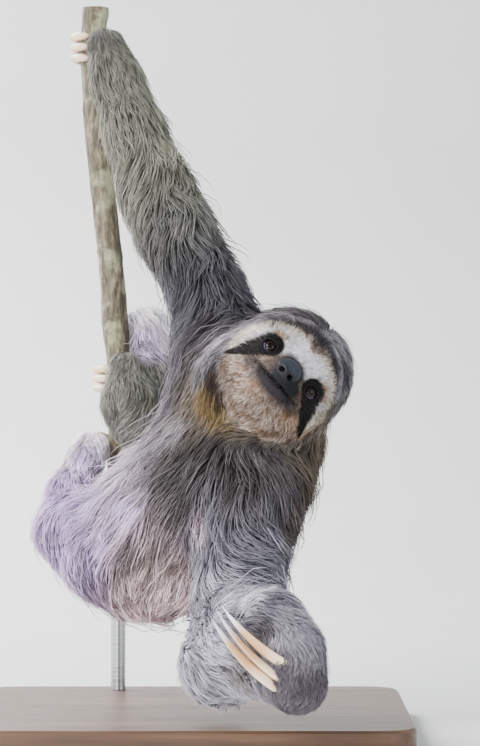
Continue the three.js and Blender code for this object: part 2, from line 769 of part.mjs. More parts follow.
const gripped = solidOf(stemGeometry(STEM.radius + CLEARANCE));
for (const [name, spec] of Object.entries(STRETCHES)) {
  const held = GRIPPING.includes(name) ? [gripped] : [];
  const sockets = CLAWED[name] ? clawSockets(CLAW_SETS[CLAWED[name]]) : [];
  const solid = clearOf(stretch(spec), [...held, ...sockets]);
  addMesh(name, geometryOf(mainPiece(solid)), 'coat');
}

for (const [limb, set] of Object.entries(CLAW_SETS)) {
  CLAW_NAMES.forEach((place, number) => {
    addMesh(`claw_${limb}_${place}`, clawGeometry(set, number), 'claw');
  });
}

addMesh('perch_stem', geometryOf(stemSolid()), 'bark');
addMesh('stand_base', baseGeometry(), 'board');
addMesh('stand_rod', rodGeometry(), 'steel');
addMesh('stand_collar', collarGeometry(), 'steel');

export default sloth;
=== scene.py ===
"""A life-size brown-throated three-toed sloth on its perch and display stand.

One skin covers the flesh, and a coat of closed, tapered tufts is combed over it. Skin and coat take
their colours from the same functions of place. Sizes and places below are in millimetres, in the
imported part's frame; meshes are made in metres.
"""

import math

import bmesh
import bpy
import numpy as np
from mathutils.kdtree import KDTree
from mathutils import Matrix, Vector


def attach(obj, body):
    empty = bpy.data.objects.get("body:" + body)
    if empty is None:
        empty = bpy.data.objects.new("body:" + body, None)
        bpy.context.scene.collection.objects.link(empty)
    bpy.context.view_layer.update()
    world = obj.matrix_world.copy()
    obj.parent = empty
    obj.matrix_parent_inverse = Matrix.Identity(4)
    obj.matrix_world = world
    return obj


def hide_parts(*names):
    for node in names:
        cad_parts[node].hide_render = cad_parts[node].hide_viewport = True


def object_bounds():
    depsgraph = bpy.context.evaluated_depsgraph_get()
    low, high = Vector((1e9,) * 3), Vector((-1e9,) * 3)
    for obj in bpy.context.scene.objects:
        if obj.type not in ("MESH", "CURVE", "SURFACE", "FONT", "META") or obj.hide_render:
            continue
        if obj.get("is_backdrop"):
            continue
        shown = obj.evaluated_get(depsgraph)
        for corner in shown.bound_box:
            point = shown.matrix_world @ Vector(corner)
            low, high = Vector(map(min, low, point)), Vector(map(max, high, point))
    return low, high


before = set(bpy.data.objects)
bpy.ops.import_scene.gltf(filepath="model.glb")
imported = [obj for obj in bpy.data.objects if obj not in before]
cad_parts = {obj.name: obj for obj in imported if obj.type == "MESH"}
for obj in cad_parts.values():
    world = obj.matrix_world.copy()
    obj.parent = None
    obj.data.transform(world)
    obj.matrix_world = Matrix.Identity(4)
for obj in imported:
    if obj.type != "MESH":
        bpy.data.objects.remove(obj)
cad_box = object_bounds()

MM = 0.001
SEED = 11

# ---------------------------------------------------------------- driving dimensions

# Joints of the animal: x, y, z, radius out to the tips of the coat, length of the hair, pelt colour.
JOINTS = {
    "pelvis": (-57, 59, 140, 43, 34, "taupe"),
    "loin": (-17, 17, 165, 54, 36, "mauve"),
    "belly": (-14, 4, 142, 49, 26, "rose"),
    # The chest's dark grey is partly painted shade under the head.
    "chest": (25, -32, 192, 51, 38, "smoke"),
    "back": (7, 20, 213, 44, 36, "dusk"),
    "neckBase": (46, -32, 229, 47, 34, "umber"),
    "neckTop": (50, -36, 254, 43, 26, "umber"),
    "nape": (67, -28, 234, 38, 30, "umber"),
    "tailRoot": (-86, 90, 130, 15, 18, "taupe"),
    "tailTip": (-102, 112, 122, 11, 14, "taupe"),
    # The left shoulder's dark grey is partly painted shade under the head.
    "leftShoulder": (55, -70, 196, 42, 36, "smoke"),
    "leftUpperArm": (42, -86, 140, 35, 34, "ash"),
    # The pale silver of the left elbow, forearm and heel is partly painted light.
    "leftElbow": (25, -86, 62, 30, 20, "silver"),
    "leftForearm": (45, -127, 93, 29, 18, "silver"),
    "leftHeel": (50, -120, 60, 18, 16, "silver"),
    "leftWrist": (64, -160, 102, 23, 17, "ash"),
    "leftPalm": (81, -183, 84, 19, 11, "dove"),
    "leftKnuckles": (80.5, -189, 59.5, 19.5, 6, "mole"),
    # The right shoulder and upper arm take a darker grey that is partly painted shade.
    "rightShoulder": (32, -2, 285, 38, 34, "shaded_slate"),
    "rightUpperArm": (14, 18, 344, 33, 32, "shaded_slate"),
    "rightArmBend": (-11, 38, 393, 33, 30, "pewter"),
    "rightElbow": (-25, 54, 422, 33, 30, "drab"),
    "rightForearm": (-45, 72, 475, 27, 26, "drab"),
    "rightWrist": (-60, 86, 517, 23, 20, "drab"),
    "rightPalm": (-69, 94, 546, 17, 12, "pewter"),
    "leftHip": (-40, 18, 126, 40, 32, "rose"),
    "leftThigh": (-70, 16, 138, 35, 32, "lilac"),
    "leftKnee": (-98, 28, 156, 26, 24, "lilac"),
    "leftShin": (-97, 60, 182, 20, 18, "lilac"),
    # Painted sunlight: the near foot takes the palest colour, for fur where the sun falls.
    "leftAnkle": (-88, 82, 203, 16, 13, "sunlit_pearl"),
    "leftSole": (-81, 96, 219, 16, 11, "sunlit_pearl"),
    "rightHip": (-4, 84, 184, 33, 32, "taupe"),
    "rightThigh": (-2, 126, 250, 25, 24, "lilac"),
    # Painted sunlight: the far knee takes the palest colour, for its back-lit fur.
    "rightKnee": (-38, 141, 315, 21.5, 18, "sunlit_pearl"),
    # The far shin and foot take a darker grey-green that is partly painted shade.
    "rightShin": (-38, 106, 272, 18, 16, "lichen"),
    "rightAnkle": (-46, 80, 238, 17, 14, "lichen"),
    "rightInstep": (-50, 82, 256, 22.5, 14, "lichen"),
    "rightSole": (-53, 90, 286, 14, 10, "lichen"),
}

# Chains of joints. Those of the torso run softly into each other, and the rest only just meet it.
TORSO_CHAINS = [
    ("pelvis", "loin", "chest"),
    ("pelvis", "belly", "chest"),
    ("chest", "neckBase", "neckTop"),
    ("chest", "nape", "neckTop"),
    ("neckBase", "rightShoulder"),
    ("loin", "back", "rightShoulder"),
    ("leftShoulder", "leftUpperArm", "leftElbow", "leftForearm", "leftWrist"),
    ("rightShoulder", "rightUpperArm", "rightArmBend", "rightElbow", "rightForearm", "rightWrist"),
    ("leftHip", "leftThigh", "leftKnee"),
    ("rightHip", "rightThigh", "rightKnee"),
]
OUTER_CHAINS = [
    ("tailRoot", "tailTip"),
    ("leftWrist", "leftPalm", "leftKnuckles"),
    ("leftElbow", "leftHeel", "leftKnuckles"),
    ("rightWrist", "rightPalm"),
    ("leftKnee", "leftShin", "leftAnkle", "leftSole"),
    ("rightKnee", "rightShin", "rightAnkle"),
    ("rightAnkle", "rightInstep", "rightSole"),
]
LIMB_BLEND = 10
ROOT_BLEND = 26
HEAD_BLEND = 9
NECK_BLEND = 12
COAT_DEPTH = 0.32  # height of the coat's tips over the skin, as a share of the hair's length

# The head has its own frame: a to its left, b up and c forward from the middle of the head.
HEAD_AT = np.array([73.0, -60.0, 279.0])
HEAD_ROLL = math.radians(48.7)
HEAD_PITCH = math.radians(15)

# Forms of the head: middle a, b, c, half sizes out to the coat's tips, and the coat's depth there.
HEAD_FORMS = [
    (1, 7, -6, 51, 51, 44, 6.5),
    (0, -22, -9, 55, 50, 38, 6.5),
    (0, -10, 6, 47, 40, 36, 3.0),
    (0, 10, 16, 36, 26, 25, 1.8),
    (0, -13, 36, 17, 15, 15, 0.8),
    (0, -27, 28, 15, 11, 14, 0.8),
    (-11, -19, 36, 9, 7.5, 9.5, 0.8),
    (11, -19, 36, 9, 7.5, 9.5, 0.8),
    (0, -9.5, 46, 10.5, 9, 10, 0.6),
    (-21.8, -4.6, 31.4, 9.4, 9.0, 9.2, 0.8),
    (21.8, -4.6, 31.4, 9.4, 9.0, 9.2, 0.8),
]

EYE = {"across": 21.8, "up": -4.6, "forward": 33.4, "radius": 6.6}
EYE_TURN = 0.26  # how far each eye faces outwards
EYE_GAZE = (0.05, 0.11)  # how far each looks inwards and upwards from there
IRIS, PUPIL, IRIS_RIM, EYE_WHITE = (36, 25, 22), (5, 4, 4), (9, 8, 9), (104, 95, 130)
EYE_MESH = {"front": 26, "back": 14, "sides": 48}
LID = {"half_across": 4.9, "half_up": 4.4, "depth": 3.0, "rim": 0.7}
NOSTRIL = {"across": 4.3, "up": -13.4, "half": (2.3, 1.8), "depth": 3.0}
FAR_OFF = 9.0  # the share given to what lies behind an eye or a nostril
MOUTH = {"up": -21.8, "rise": 0.0036, "half": 23.5, "line": 1.3, "depth": 2.0}
NOSE_PAD = {"up": -9.3, "forward": 47.0, "half": (10.8, 9.4, 14.0), "proud": 0.3, "rim": 1.6}

# The dark patch that runs out from each eye, in the face's plane: its ends and its radius at each.
EYE_PATCH = {"start": (23.8, -2.6), "end": (41.0, -26.5), "radii": (10.2, 1.9)}

# Ovals of bare skin in the face's plane: middle a, b and half sizes. The last one ends at the mouth.
NOSE_OVAL = (0, -9.5, 12.5, 11.0)
UPPER_LIP_OVAL = (4, -16.5, 15.5, 8.0)
LOWER_LIP_OVAL = (1, -21.5, 20.5, 8.8)
LOWER_LIP_TOP = -20.8

SKIN_CELL = 2.4  # size of the cells that the skin is made from
SKIN_ROOM = 62  # room round the joints in which the skin is looked for
NOSE_CELL = 0.7

# Pelt colours as displayed, from 0 to 255.
PELT = {
    "taupe": (160, 148, 156),
    "mauve": (172, 160, 180),
    "rose": (216, 194, 202),
    "lilac": (194, 174, 212),
    # Painted sunlight: a bright lavender for fur where the sun falls.
    "sunlit_orchid": (232, 212, 252),
    # Painted light: a bright pink for the belly fur with light shining through it.
    "lit_blush": (255, 232, 240),
    "sage": (186, 184, 176),
    # Painted sunlight: the palest of the pelt colours, for fur where the sun falls.
    "sunlit_pearl": (255, 250, 255),
    # Dark grey; on the chest and the left shoulder it is partly painted shade.
    "smoke": (78, 73, 74),
    "dusk": (116, 110, 114),
    "umber": (104, 93, 80),
    "ash": (124, 121, 133),
    "silver": (194, 191, 204),
    "dove": (165, 161, 170),
    "mole": (100, 93, 101),
    # Dark grey for the right shoulder and upper arm, partly painted shade.
    "shaded_slate": (82, 80, 86),
    "pewter": (110, 109, 104),
    "drab": (128, 128, 116),
    "lichen": (132, 132, 124),
    "soot": (62, 57, 60),
    "mist": (160, 156, 162),
    "cream": (232, 228, 234),
    "straw": (208, 195, 174),
    "tan": (172, 155, 143),
    "tawny": (122, 98, 80),
    "ochre": (134, 110, 66),
    "bark": (58, 46, 38),
    "rust": (168, 122, 102),
    "sable": (22, 18, 17),
    "amber": (172, 122, 70),
    "muzzle": (84, 74, 72),
    "chin": (36, 31, 35),
    "leather": (18, 18, 22),
    # Painted highlight: the blue-grey of light on the top of the nose.
    "painted_nose_sheen": (44, 49, 59),
}

# Patches of another colour on the body: place, reach, colour and strength.
BODY_PATCHES = [
    ((-58, 22, 188), 15, "sage", 0.8),
    ((-38, 26, 216), 17, "sage", 0.8),
    ((-14, 30, 236), 15, "sage", 0.7),
    # Painted sunlight on the flank.
    ((-46, -36, 171), 11, "sunlit_orchid", 0.95),
    ((-29, -50, 166), 8, "soot", 0.95),
    ((-13, -52, 229), 14, "mist", 0.6),
    # Painted shade between the raised right arm and the head.
    ((10, -36, 305), 19, "soot", 0.85),
    ((-108, 30, 150), 13, "pewter", 0.5),
    ((-70, -8, 124), 11, "smoke", 0.8),
    ((-88, 2, 138), 7, "smoke", 0.7),
    # Painted sunlight on the flank.
    ((-66, -22, 150), 10, "sunlit_orchid", 0.6),
    ((-44, -33, 137), 14, "smoke", 0.85),
    ((-18, -48, 142), 11, "smoke", 0.6),
    ((-45, -20, 112), 12, "straw", 0.45),
    ((-20, -36, 124), 20, "tan", 0.5),
    # Painted light on the underside of the belly.
    ((-8, -32, 100), 19, "lit_blush", 0.95),
    ((-38, -8, 94), 19, "lit_blush", 0.95),
    ((8, -44, 150), 14, "smoke", 0.75),
    # Partly painted shade: darker chest and shoulder fur under the head.
    ((30, -80, 215), 22, "smoke", 0.8),
    ((16, -72, 190), 16, "smoke", 0.8),
    ((40, -118, 196), 22, "smoke", 0.85),
    ((10, -92, 160), 10, "rose", 0.5),
    ((92, -70, 200), 20, "umber", 0.7),
    ((78, -90, 160), 16, "umber", 0.6),
    # Pale patches on the left forearm and wrist: the silver is partly painted light, and the palest one
    # is painted sunlight.
    ((20, -110, 104), 14, "silver", 0.8),
    ((47, -167, 118), 12, "sunlit_pearl", 0.5),
    ((62, -158, 122), 10, "silver", 0.6),
    # Painted shade: dark patches on the fur round the left hand's claws, between and above them.
    ((58, -184, 97), 9, "smoke", 0.85),
    ((66, -176, 66), 7, "bark", 0.75),
    ((56, -164, 78), 7, "bark", 0.75),
    ((46, -155, 88), 7, "bark", 0.7),
    ((38, -148, 98), 6, "bark", 0.5),
    ((40, -142, 56), 13, "umber", 0.6),
    ((88, -192, 92), 14, "ash", 0.8),
    ((24, 130, 268), 18, "lilac", 0.6),
    # Painted sunlight on the far knee and the near shin.
    ((-34, 104, 305), 15, "sunlit_orchid", 0.85),
    ((-82, 62, 218), 16, "sunlit_orchid", 0.85),
    ((-40, 112, 296), 9, "smoke", 0.7),
]

# Patches of another colour on the face: a and b of the middle, reach, colour and strength.
FACE_PATCHES = [
    (-25.0, 8.5, 4.0, "amber", 0.8),
    (-20.0, 10.0, 3.0, "amber", 0.5),
    (28.0, 8.0, 4.0, "amber", 0.8),
    (34.0, 3.0, 3.5, "amber", 0.6),
    (19.0, -15.0, 4.0, "amber", 0.5),
    (27.5, -26.0, 7.0, "amber", 0.3),
    (-10.0, -34.0, 4.5, "rust", 0.5),
    # Painted highlight on the fur at the top of the nose.
    (-6.0, 0.5, 4.5, "painted_nose_sheen", 0.6),
    (0.0, 28.5, 6.0, "soot", 0.85),
    (-25.0, -21.0, 4.5, "muzzle", 0.85),
    (25.0, -21.5, 4.0, "muzzle", 0.7),
    # Painted shadow: dark brown spots along the lower edge of the face's ruff, where it overhangs the
    # neck.
    (-35.0, -46.0, 3.6, "bark", 0.95),
    (-29.0, -50.0, 4.6, "bark", 0.95),
    (-21.0, -54.0, 5.0, "bark", 0.95),
    (-12.0, -57.5, 4.4, "bark", 0.9),
    (4.0, -58.5, 3.6, "umber", 0.7),
    (21.0, -56.0, 4.5, "bark", 0.9),
]

# How the coat lies: at each place, the direction that the hair takes there.
COMBS = [
    ((-69, 94, 546), (0.3, -0.2, -1.0)),
    ((-48, 74, 480), (0.2, -0.2, -1.0)),
    ((-22, 52, 425), (-0.1, -0.1, -1.0)),
    ((2, 30, 370), (-0.05, -0.2, -1.0)),
    ((18, 12, 330), (-0.15, -0.2, -1.0)),
    ((34, -4, 288), (-0.45, -0.1, -0.9)),
    ((30, 10, 240), (-0.8, 0.1, -0.6)),
    ((5, -20, 215), (-0.95, 0.0, -0.45)),
    ((-20, 0, 195), (-0.95, 0.1, -0.4)),
    ((-45, 15, 185), (-0.8, 0.1, -0.6)),
    ((-62, 30, 175), (-0.5, 0.1, -0.9)),
    ((-15, -30, 165), (-0.8, 0.0, -0.65)),
    ((-40, -10, 155), (-0.6, 0.0, -0.8)),
    ((-95, 30, 165), (0.0, 0.0, -1.0)),
    ((-85, 20, 130), (0.4, 0.0, -0.9)),
    ((-55, 0, 118), (0.1, 0.0, -0.95)),
    ((-45, 10, 105), (0.6, 0.0, -0.7)),
    ((0, -10, 110), (-0.3, 0.0, -0.95)),
    ((-5, -30, 135), (-0.5, 0.0, -0.85)),
    ((14, -62, 200), (-0.85, -0.1, -0.5)),
    ((20, -75, 178), (-0.5, -0.1, -0.85)),
    ((42, -90, 200), (0.0, 0.0, -1.0)),
    ((80, -60, 195), (0.55, 0.0, -0.85)),
    ((95, -50, 220), (0.2, 0.0, -1.0)),
    ((12, -95, 152), (-0.4, -0.1, -0.9)),
    ((8, -100, 118), (0.5, -0.1, -0.85)),
    ((40, -118, 158), (0.35, -0.1, -0.9)),
    ((38, -118, 128), (0.85, -0.1, -0.5)),
    ((66, -105, 135), (0.9, -0.1, -0.5)),
    ((80, -80, 150), (0.6, 0.1, -0.8)),
    ((34, -116, 106), (0.95, -0.2, -0.25)),
    ((2, -95, 88), (0.2, -0.4, 0.9)),
    ((0, -90, 60), (-0.5, -0.4, -0.6)),
    ((30, -110, 45), (0.4, -0.5, -0.6)),
    ((45, -145, 85), (0.9, -0.5, 0.1)),
    ((50, -148, 110), (0.9, -0.4, 0.25)),
    ((75, -170, 115), (0.85, -0.3, -0.5)),
    ((95, -180, 90), (0.25, -0.1, -0.95)),
    ((80, -190, 62), (-0.3, 0.0, -0.9)),
    ((-97, 60, 182), (0.1, -0.5, -0.85)),
    ((-85, 92, 212), (-0.2, -0.5, -0.8)),
    ((-4, 110, 220), (-0.2, -0.2, -0.95)),
    ((-30, 141, 305), (0.5, -0.2, -0.8)),
    ((-42, 90, 262), (-0.1, -0.1, -1.0)),
]
COMB_REACH = 22

HAIR_RINGS = (0.0, 0.3, 0.65)  # where along its length a tuft has its rings of three corners
HAIR_SWELL = (0.85, 1.0, 0.72)  # how wide it is there
TUFTS_PER_MM2 = 8.2  # divided by the hair's length
LOCK = 9  # tufts in a lock
# Painted shade: each tuft is painted darker towards its root, where shade falls between the tufts, and
# lighter at its tip.
ROOT_PAINTED_SHADE = 0.55  # how bright a tuft is at its root and at its tip
FACE_ROOT_PAINTED_SHADE = 0.3
TIP_SHADE = 1.2
TUFT_HALF_WIDTH = (0.15, 0.0105)  # of a tuft, at least, and more for each millimetre of its length
WISPS = {"share": 0.03, "longer": 1.3, "higher": 1.5}  # the few hairs that stand out from the rest
LOCK_PULL = (0, 0.2, 0.6, 1.0)  # how far each ring and the tip is drawn to the lock's first tuft
PIECE_TUFTS = 12000
PATCH = 0.003  # width of a tuft's patch on the skin's unwrap


# ---------------------------------------------------------------- small tools


def linear(colour):
    """A displayed colour from 0 to 255 as the linear one that shaders use."""
    value = np.asarray(colour, dtype=float) / 255
    return np.where(value <= 0.04045, value / 12.92, ((value + 0.055) / 1.055) ** 2.4)


PELT_LINEAR = {name: linear(colour) for name, colour in PELT.items()}


def ramp(low, high, value):
    """0 below low, 1 above high, and smooth in between. high may be the lower of the two."""
    t = np.clip((value - low) / (high - low), 0, 1)
    return t * t * (3 - 2 * t)


def mix(first, second, share):
    """Rows of first turned into second by each row's share."""
    share = np.asarray(share)[..., None]
    return first * (1 - share) + second * share


def unit(vectors):
    return vectors / np.maximum(np.linalg.norm(vectors, axis=-1, keepdims=True), 1e-9)


LATTICE_SIZE = 32
LATTICE = np.random.default_rng(SEED).random((LATTICE_SIZE,) * 3 + (3,))


def noise(points, scale, channel=0):
    """Smooth random values from 0 to 1 with features of about that scale."""
    place = points / scale + 100.0
    cell = np.floor(place).astype(int)
    t = place - cell
    t = t * t * (3 - 2 * t)
    total = 0.0
    for corner in range(8):
        step = np.array([corner & 1, (corner >> 1) & 1, (corner >> 2) & 1])
        weight = np.prod(np.where(step, t, 1 - t), axis=-1)
        i, j, k = ((cell + step) % LATTICE_SIZE).T
        total = total + weight * LATTICE[i, j, k, channel]
    return total


# ---------------------------------------------------------------- the animal's form

HEAD_LEFT = np.array([math.cos(HEAD_ROLL), 0, -math.sin(HEAD_ROLL)])
CROWN = np.array([math.sin(HEAD_ROLL), 0, math.cos(HEAD_ROLL)])
HEAD_UP = CROWN * math.cos(HEAD_PITCH) + np.array([0, math.sin(HEAD_PITCH), 0])
HEAD_FORWARD = np.cross(HEAD_LEFT, HEAD_UP)
HEAD_AXES = np.array([HEAD_LEFT, HEAD_UP, HEAD_FORWARD])


def to_head(points):
    return (points - HEAD_AT) @ HEAD_AXES.T


def from_head(points):
    return np.asarray(points) @ HEAD_AXES + HEAD_AT


def blend_of(first, second, blend):
    """Smooth union of two signed distances."""
    near = np.maximum(blend - np.abs(first - second), 0) / blend
    return np.minimum(first, second) - near * near * blend / 4


def joint_skin(name):
    """Place and skin radius of a joint."""
    x, y, z, radius, hair, _ = JOINTS[name]
    return np.array([x, y, z], dtype=float), radius - COAT_DEPTH * hair


def stretch_field(points, first, second):
    """Signed distance to the skin between two joints, and how far along it each point is."""
    start, start_radius = joint_skin(first)
    end, end_radius = joint_skin(second)
    along = end - start
    t = np.clip((points - start) @ along / (along @ along), 0, 1)
    away = np.linalg.norm(points - start - t[:, None] * along, axis=1)
    return away - (start_radius + (end_radius - start_radius) * t), t


def chain_field(points, chain):
    total = np.full(len(points), 1e3)
    for first, second in zip(chain, chain[1:]):
        total = blend_of(total, stretch_field(points, first, second)[0], LIMB_BLEND)
    return total


def ellipsoid(local, middle, half):
    """Approximate signed distance to an ellipsoid along the axes of local."""
    offset = local - np.asarray(middle, dtype=float)
    half = np.asarray(half, dtype=float)
    k1 = np.linalg.norm(offset / half, axis=1)
    k2 = np.maximum(np.linalg.norm(offset / half**2, axis=1), 1e-6)
    return k1 * (k1 - 1) / k2


def head_field(local):
    total = np.full(len(local), 1e3)
    for a, b, c, half_a, half_b, half_c, depth in HEAD_FORMS:
        form = ellipsoid(local, (a, b, c), (half_a - depth, half_b - depth, half_c - depth))
        total = blend_of(total, form, HEAD_BLEND)
    return total


def body_field(points):
    """Signed distance to the skin of all but the head."""
    total = np.full(len(points), 1e3)
    for chain in TORSO_CHAINS:
        total = blend_of(total, chain_field(points, chain), ROOT_BLEND)
    for chain in OUTER_CHAINS:
        total = blend_of(total, chain_field(points, chain), LIMB_BLEND)
    return total


def plain_field(points):
    """Signed distance to the whole skin, without the face's small features."""
    return blend_of(body_field(points), head_field(to_head(points)), NECK_BLEND)


def eye_frame(side):
    """Middle of an eye and its own side, up and forward axes, all in the head's frame."""
    middle = np.array([side * EYE["across"], EYE["up"], EYE["forward"]])
    forward = unit(np.array([side * EYE_TURN, 0.02, 1.0]))
    across = unit(np.cross([0, 1.0, 0], forward))
    return middle, np.array([across, np.cross(forward, across), forward])


def eye_opening(local, side):
    """Distance from an eye's middle as a share of its opening."""
    middle, axes = eye_frame(side)
    spot = (local - middle) @ axes.T
    share = np.hypot(spot[:, 0] / LID["half_across"], spot[:, 1] / LID["half_up"])
    return np.where(spot[:, 2] > 0, share, FAR_OFF)


def nostril_share(local, side):
    """Distance from a nostril's middle as a share of its size."""
    half_a, half_b = NOSTRIL["half"]
    from_a, from_b = local[:, 0] - side * NOSTRIL["across"], local[:, 1] - NOSTRIL["up"]
    share = np.hypot(from_a / half_a, from_b / half_b)
    return np.where(local[:, 2] > 40, share, FAR_OFF)


def mouth_height(a, c):
    return MOUTH["up"] + MOUTH["rise"] * a * a - 0.05 * (c - 46)


def mouth_line(local):
    """1 along the middle of the line between the lips, 0 away from it."""
    a, b, c = local.T
    across = ramp(MOUTH["line"], 0, np.abs(b - mouth_height(a, c)))
    return across * ramp(MOUTH["half"] + 1.5, MOUTH["half"] - 3, np.abs(a)) * ramp(20, 26, c)


def face_features(local, skin):
    """Eye openings with their lids, nostrils and the mouth line, worked into the head's skin."""
    for side in (-1, 1):
        opening = eye_opening(local, side)
        skin = skin + LID["depth"] * ramp(1.12, 0.92, opening)
        skin = skin - LID["rim"] * ramp(1.0, 1.2, opening) * ramp(1.65, 1.25, opening)
        skin = skin + NOSTRIL["depth"] * ramp(1.15, 0.5, nostril_share(local, side))
    return skin + MOUTH["depth"] * mouth_line(local)


def skin_field(points):
    """Signed distance to the whole skin, with the face's features."""
    local = to_head(points)
    head = head_field(local)
    front = (local[:, 2] > 15) & (np.abs(head) < 20)
    head[front] = face_features(local[front], head[front])
    return blend_of(body_field(points), head, NECK_BLEND)


def slope_of(field, points, step=0.4):
    """Direction away from the surface."""
    value = field(points)
    slope = np.empty_like(points)
    for axis in range(3):
        probe = points.copy()
        probe[:, axis] += step
        slope[:, axis] = (field(probe) - value) / step
    return value, slope


def settled(field, points, height=0.0, rounds=1):
    """Points moved to a height over the surface."""
    for _ in range(rounds):
        value, slope = slope_of(field, points)
        steep = np.maximum((slope * slope).sum(1), 0.3)
        points = points - slope * ((value - height) / steep)[:, None]
    return points


def surface_of(field, low, high, cell):
    """Corners and quads of a closed surface: one corner in each cell that the surface crosses."""
    coarse = 6
    low = np.asarray(low, dtype=float)
    shape = np.ceil((np.asarray(high) - low) / cell / coarse).astype(int) * coarse + 1
    index = [np.arange(n) for n in shape]
    rough_grid = np.stack(np.meshgrid(*[i[::coarse] for i in index], indexing="ij"), -1)
    rough = field(low + cell * rough_grid.reshape(-1, 3)).reshape(rough_grid.shape[:3])
    nearest = np.ix_(*[np.rint(i / coarse).astype(int) for i in index])
    values = rough[nearest]
    near = np.argwhere(np.abs(values) < coarse * cell * 0.9 + ROOT_BLEND / 4)
    values[tuple(near.T)] = field(low + cell * near)
    inside = values < 0
    steps = [np.array([n & 1, (n >> 1) & 1, (n >> 2) & 1]) for n in range(8)]
    cells_shape = shape - 1
    corner_inside = [
        inside[tuple(slice(s, s + n) for s, n in zip(step, cells_shape))] for step in steps
    ]
    count = np.sum(corner_inside, axis=0)
    cells = np.argwhere((count > 0) & (count < 8))
    corner_value = np.stack([values[tuple((cells + step).T)] for step in steps], 1)
    middle = np.zeros((len(cells), 3))
    crossings = np.zeros(len(cells))
    for first in range(8):
        for bit in (1, 2, 4):
            if first & bit:
                continue
            v0, v1 = corner_value[:, first], corner_value[:, first | bit]
            crossed = (v0 < 0) != (v1 < 0)
            share = np.where(crossed, v0 / np.where(crossed, v0 - v1, 1), 0)
            place = steps[first] + share[:, None] * (steps[first | bit] - steps[first])
            middle += place * crossed[:, None]
            crossings += crossed
    corners = low + cell * (cells + middle / crossings[:, None])
    number = np.full(tuple(cells_shape), -1)
    number[tuple(cells.T)] = np.arange(len(cells))
    quads = []
    for axis in range(3):
        ahead = [slice(None)] * 3
        behind = [slice(None)] * 3
        ahead[axis] = slice(1, None)
        behind[axis] = slice(None, -1)
        here = inside[tuple(behind)]
        edges = np.argwhere(here != inside[tuple(ahead)])
        u, v = np.eye(3, dtype=int)[(axis + 1) % 3], np.eye(3, dtype=int)[(axis + 2) % 3]
        ring = [number[tuple((edges - s).T)] for s in (u + v, v, 0 * u, u)]
        ring = np.stack(ring, 1)
        flip = ~here[tuple(edges.T)]
        ring[flip] = ring[flip][:, ::-1]
        quads.append(ring)
    return corners, np.concatenate(quads)


# ---------------------------------------------------------------- markings, painted light and shade, and the coat's lie


def stretch_traits(points):
    """Hair length and pelt colour of the body at each point, from the joints near it."""
    spans = [pair for chain in TORSO_CHAINS + OUTER_CHAINS for pair in zip(chain, chain[1:])]
    far = []
    traits = []
    for first, second in spans:
        distance, t = stretch_field(points, first, second)
        ends = [np.append(PELT_LINEAR[JOINTS[n][5]], JOINTS[n][4]) for n in (first, second)]
        far.append(distance)
        traits.append(mix(np.broadcast_to(ends[0], (len(points), 4)), ends[1], t))
    far = np.stack(far)
    weight = np.exp(-(far - far.min(0)) / 5)
    blended = (np.stack(traits) * weight[..., None]).sum(0) / weight.sum(0)[:, None]
    colour = blended[:, :3]
    wobble = 1 + 0.5 * (noise(points, 9) - 0.5)
    for place, reach, name, strength in BODY_PATCHES:
        away = np.linalg.norm(points - np.array(place), axis=1) * wobble
        colour = mix(colour, PELT_LINEAR[name], strength * ramp(1.6 * reach, 0.6 * reach, away))
    return blended[:, 3], colour


def patch_distance(a, b):
    """Signed distance, in the face's plane, to the dark patch that runs out from each eye."""
    start, end = np.array(EYE_PATCH["start"]), np.array(EYE_PATCH["end"])
    start_radius, end_radius = EYE_PATCH["radii"]
    along = end - start
    offset = np.stack([np.abs(a), b], 1) - start
    t = np.clip(offset @ along / (along @ along), 0, 1)
    away = np.linalg.norm(offset - t[:, None] * along, axis=1)
    return away - (start_radius + (end_radius - start_radius) * t)


def oval_distance(a, b, oval):
    """Signed distance, in the face's plane, to an oval."""
    middle_a, middle_b, half_a, half_b = oval
    return (np.hypot((a - middle_a) / half_a, (b - middle_b) / half_b) - 1) * half_b


def leather_distance(a, b):
    """Signed distance, in the face's plane, to the bare skin of nose, lips and chin."""
    upper = np.minimum(oval_distance(a, b, NOSE_OVAL), oval_distance(a, b, UPPER_LIP_OVAL))
    return np.minimum(upper, np.maximum(oval_distance(a, b, LOWER_LIP_OVAL), b - LOWER_LIP_TOP))


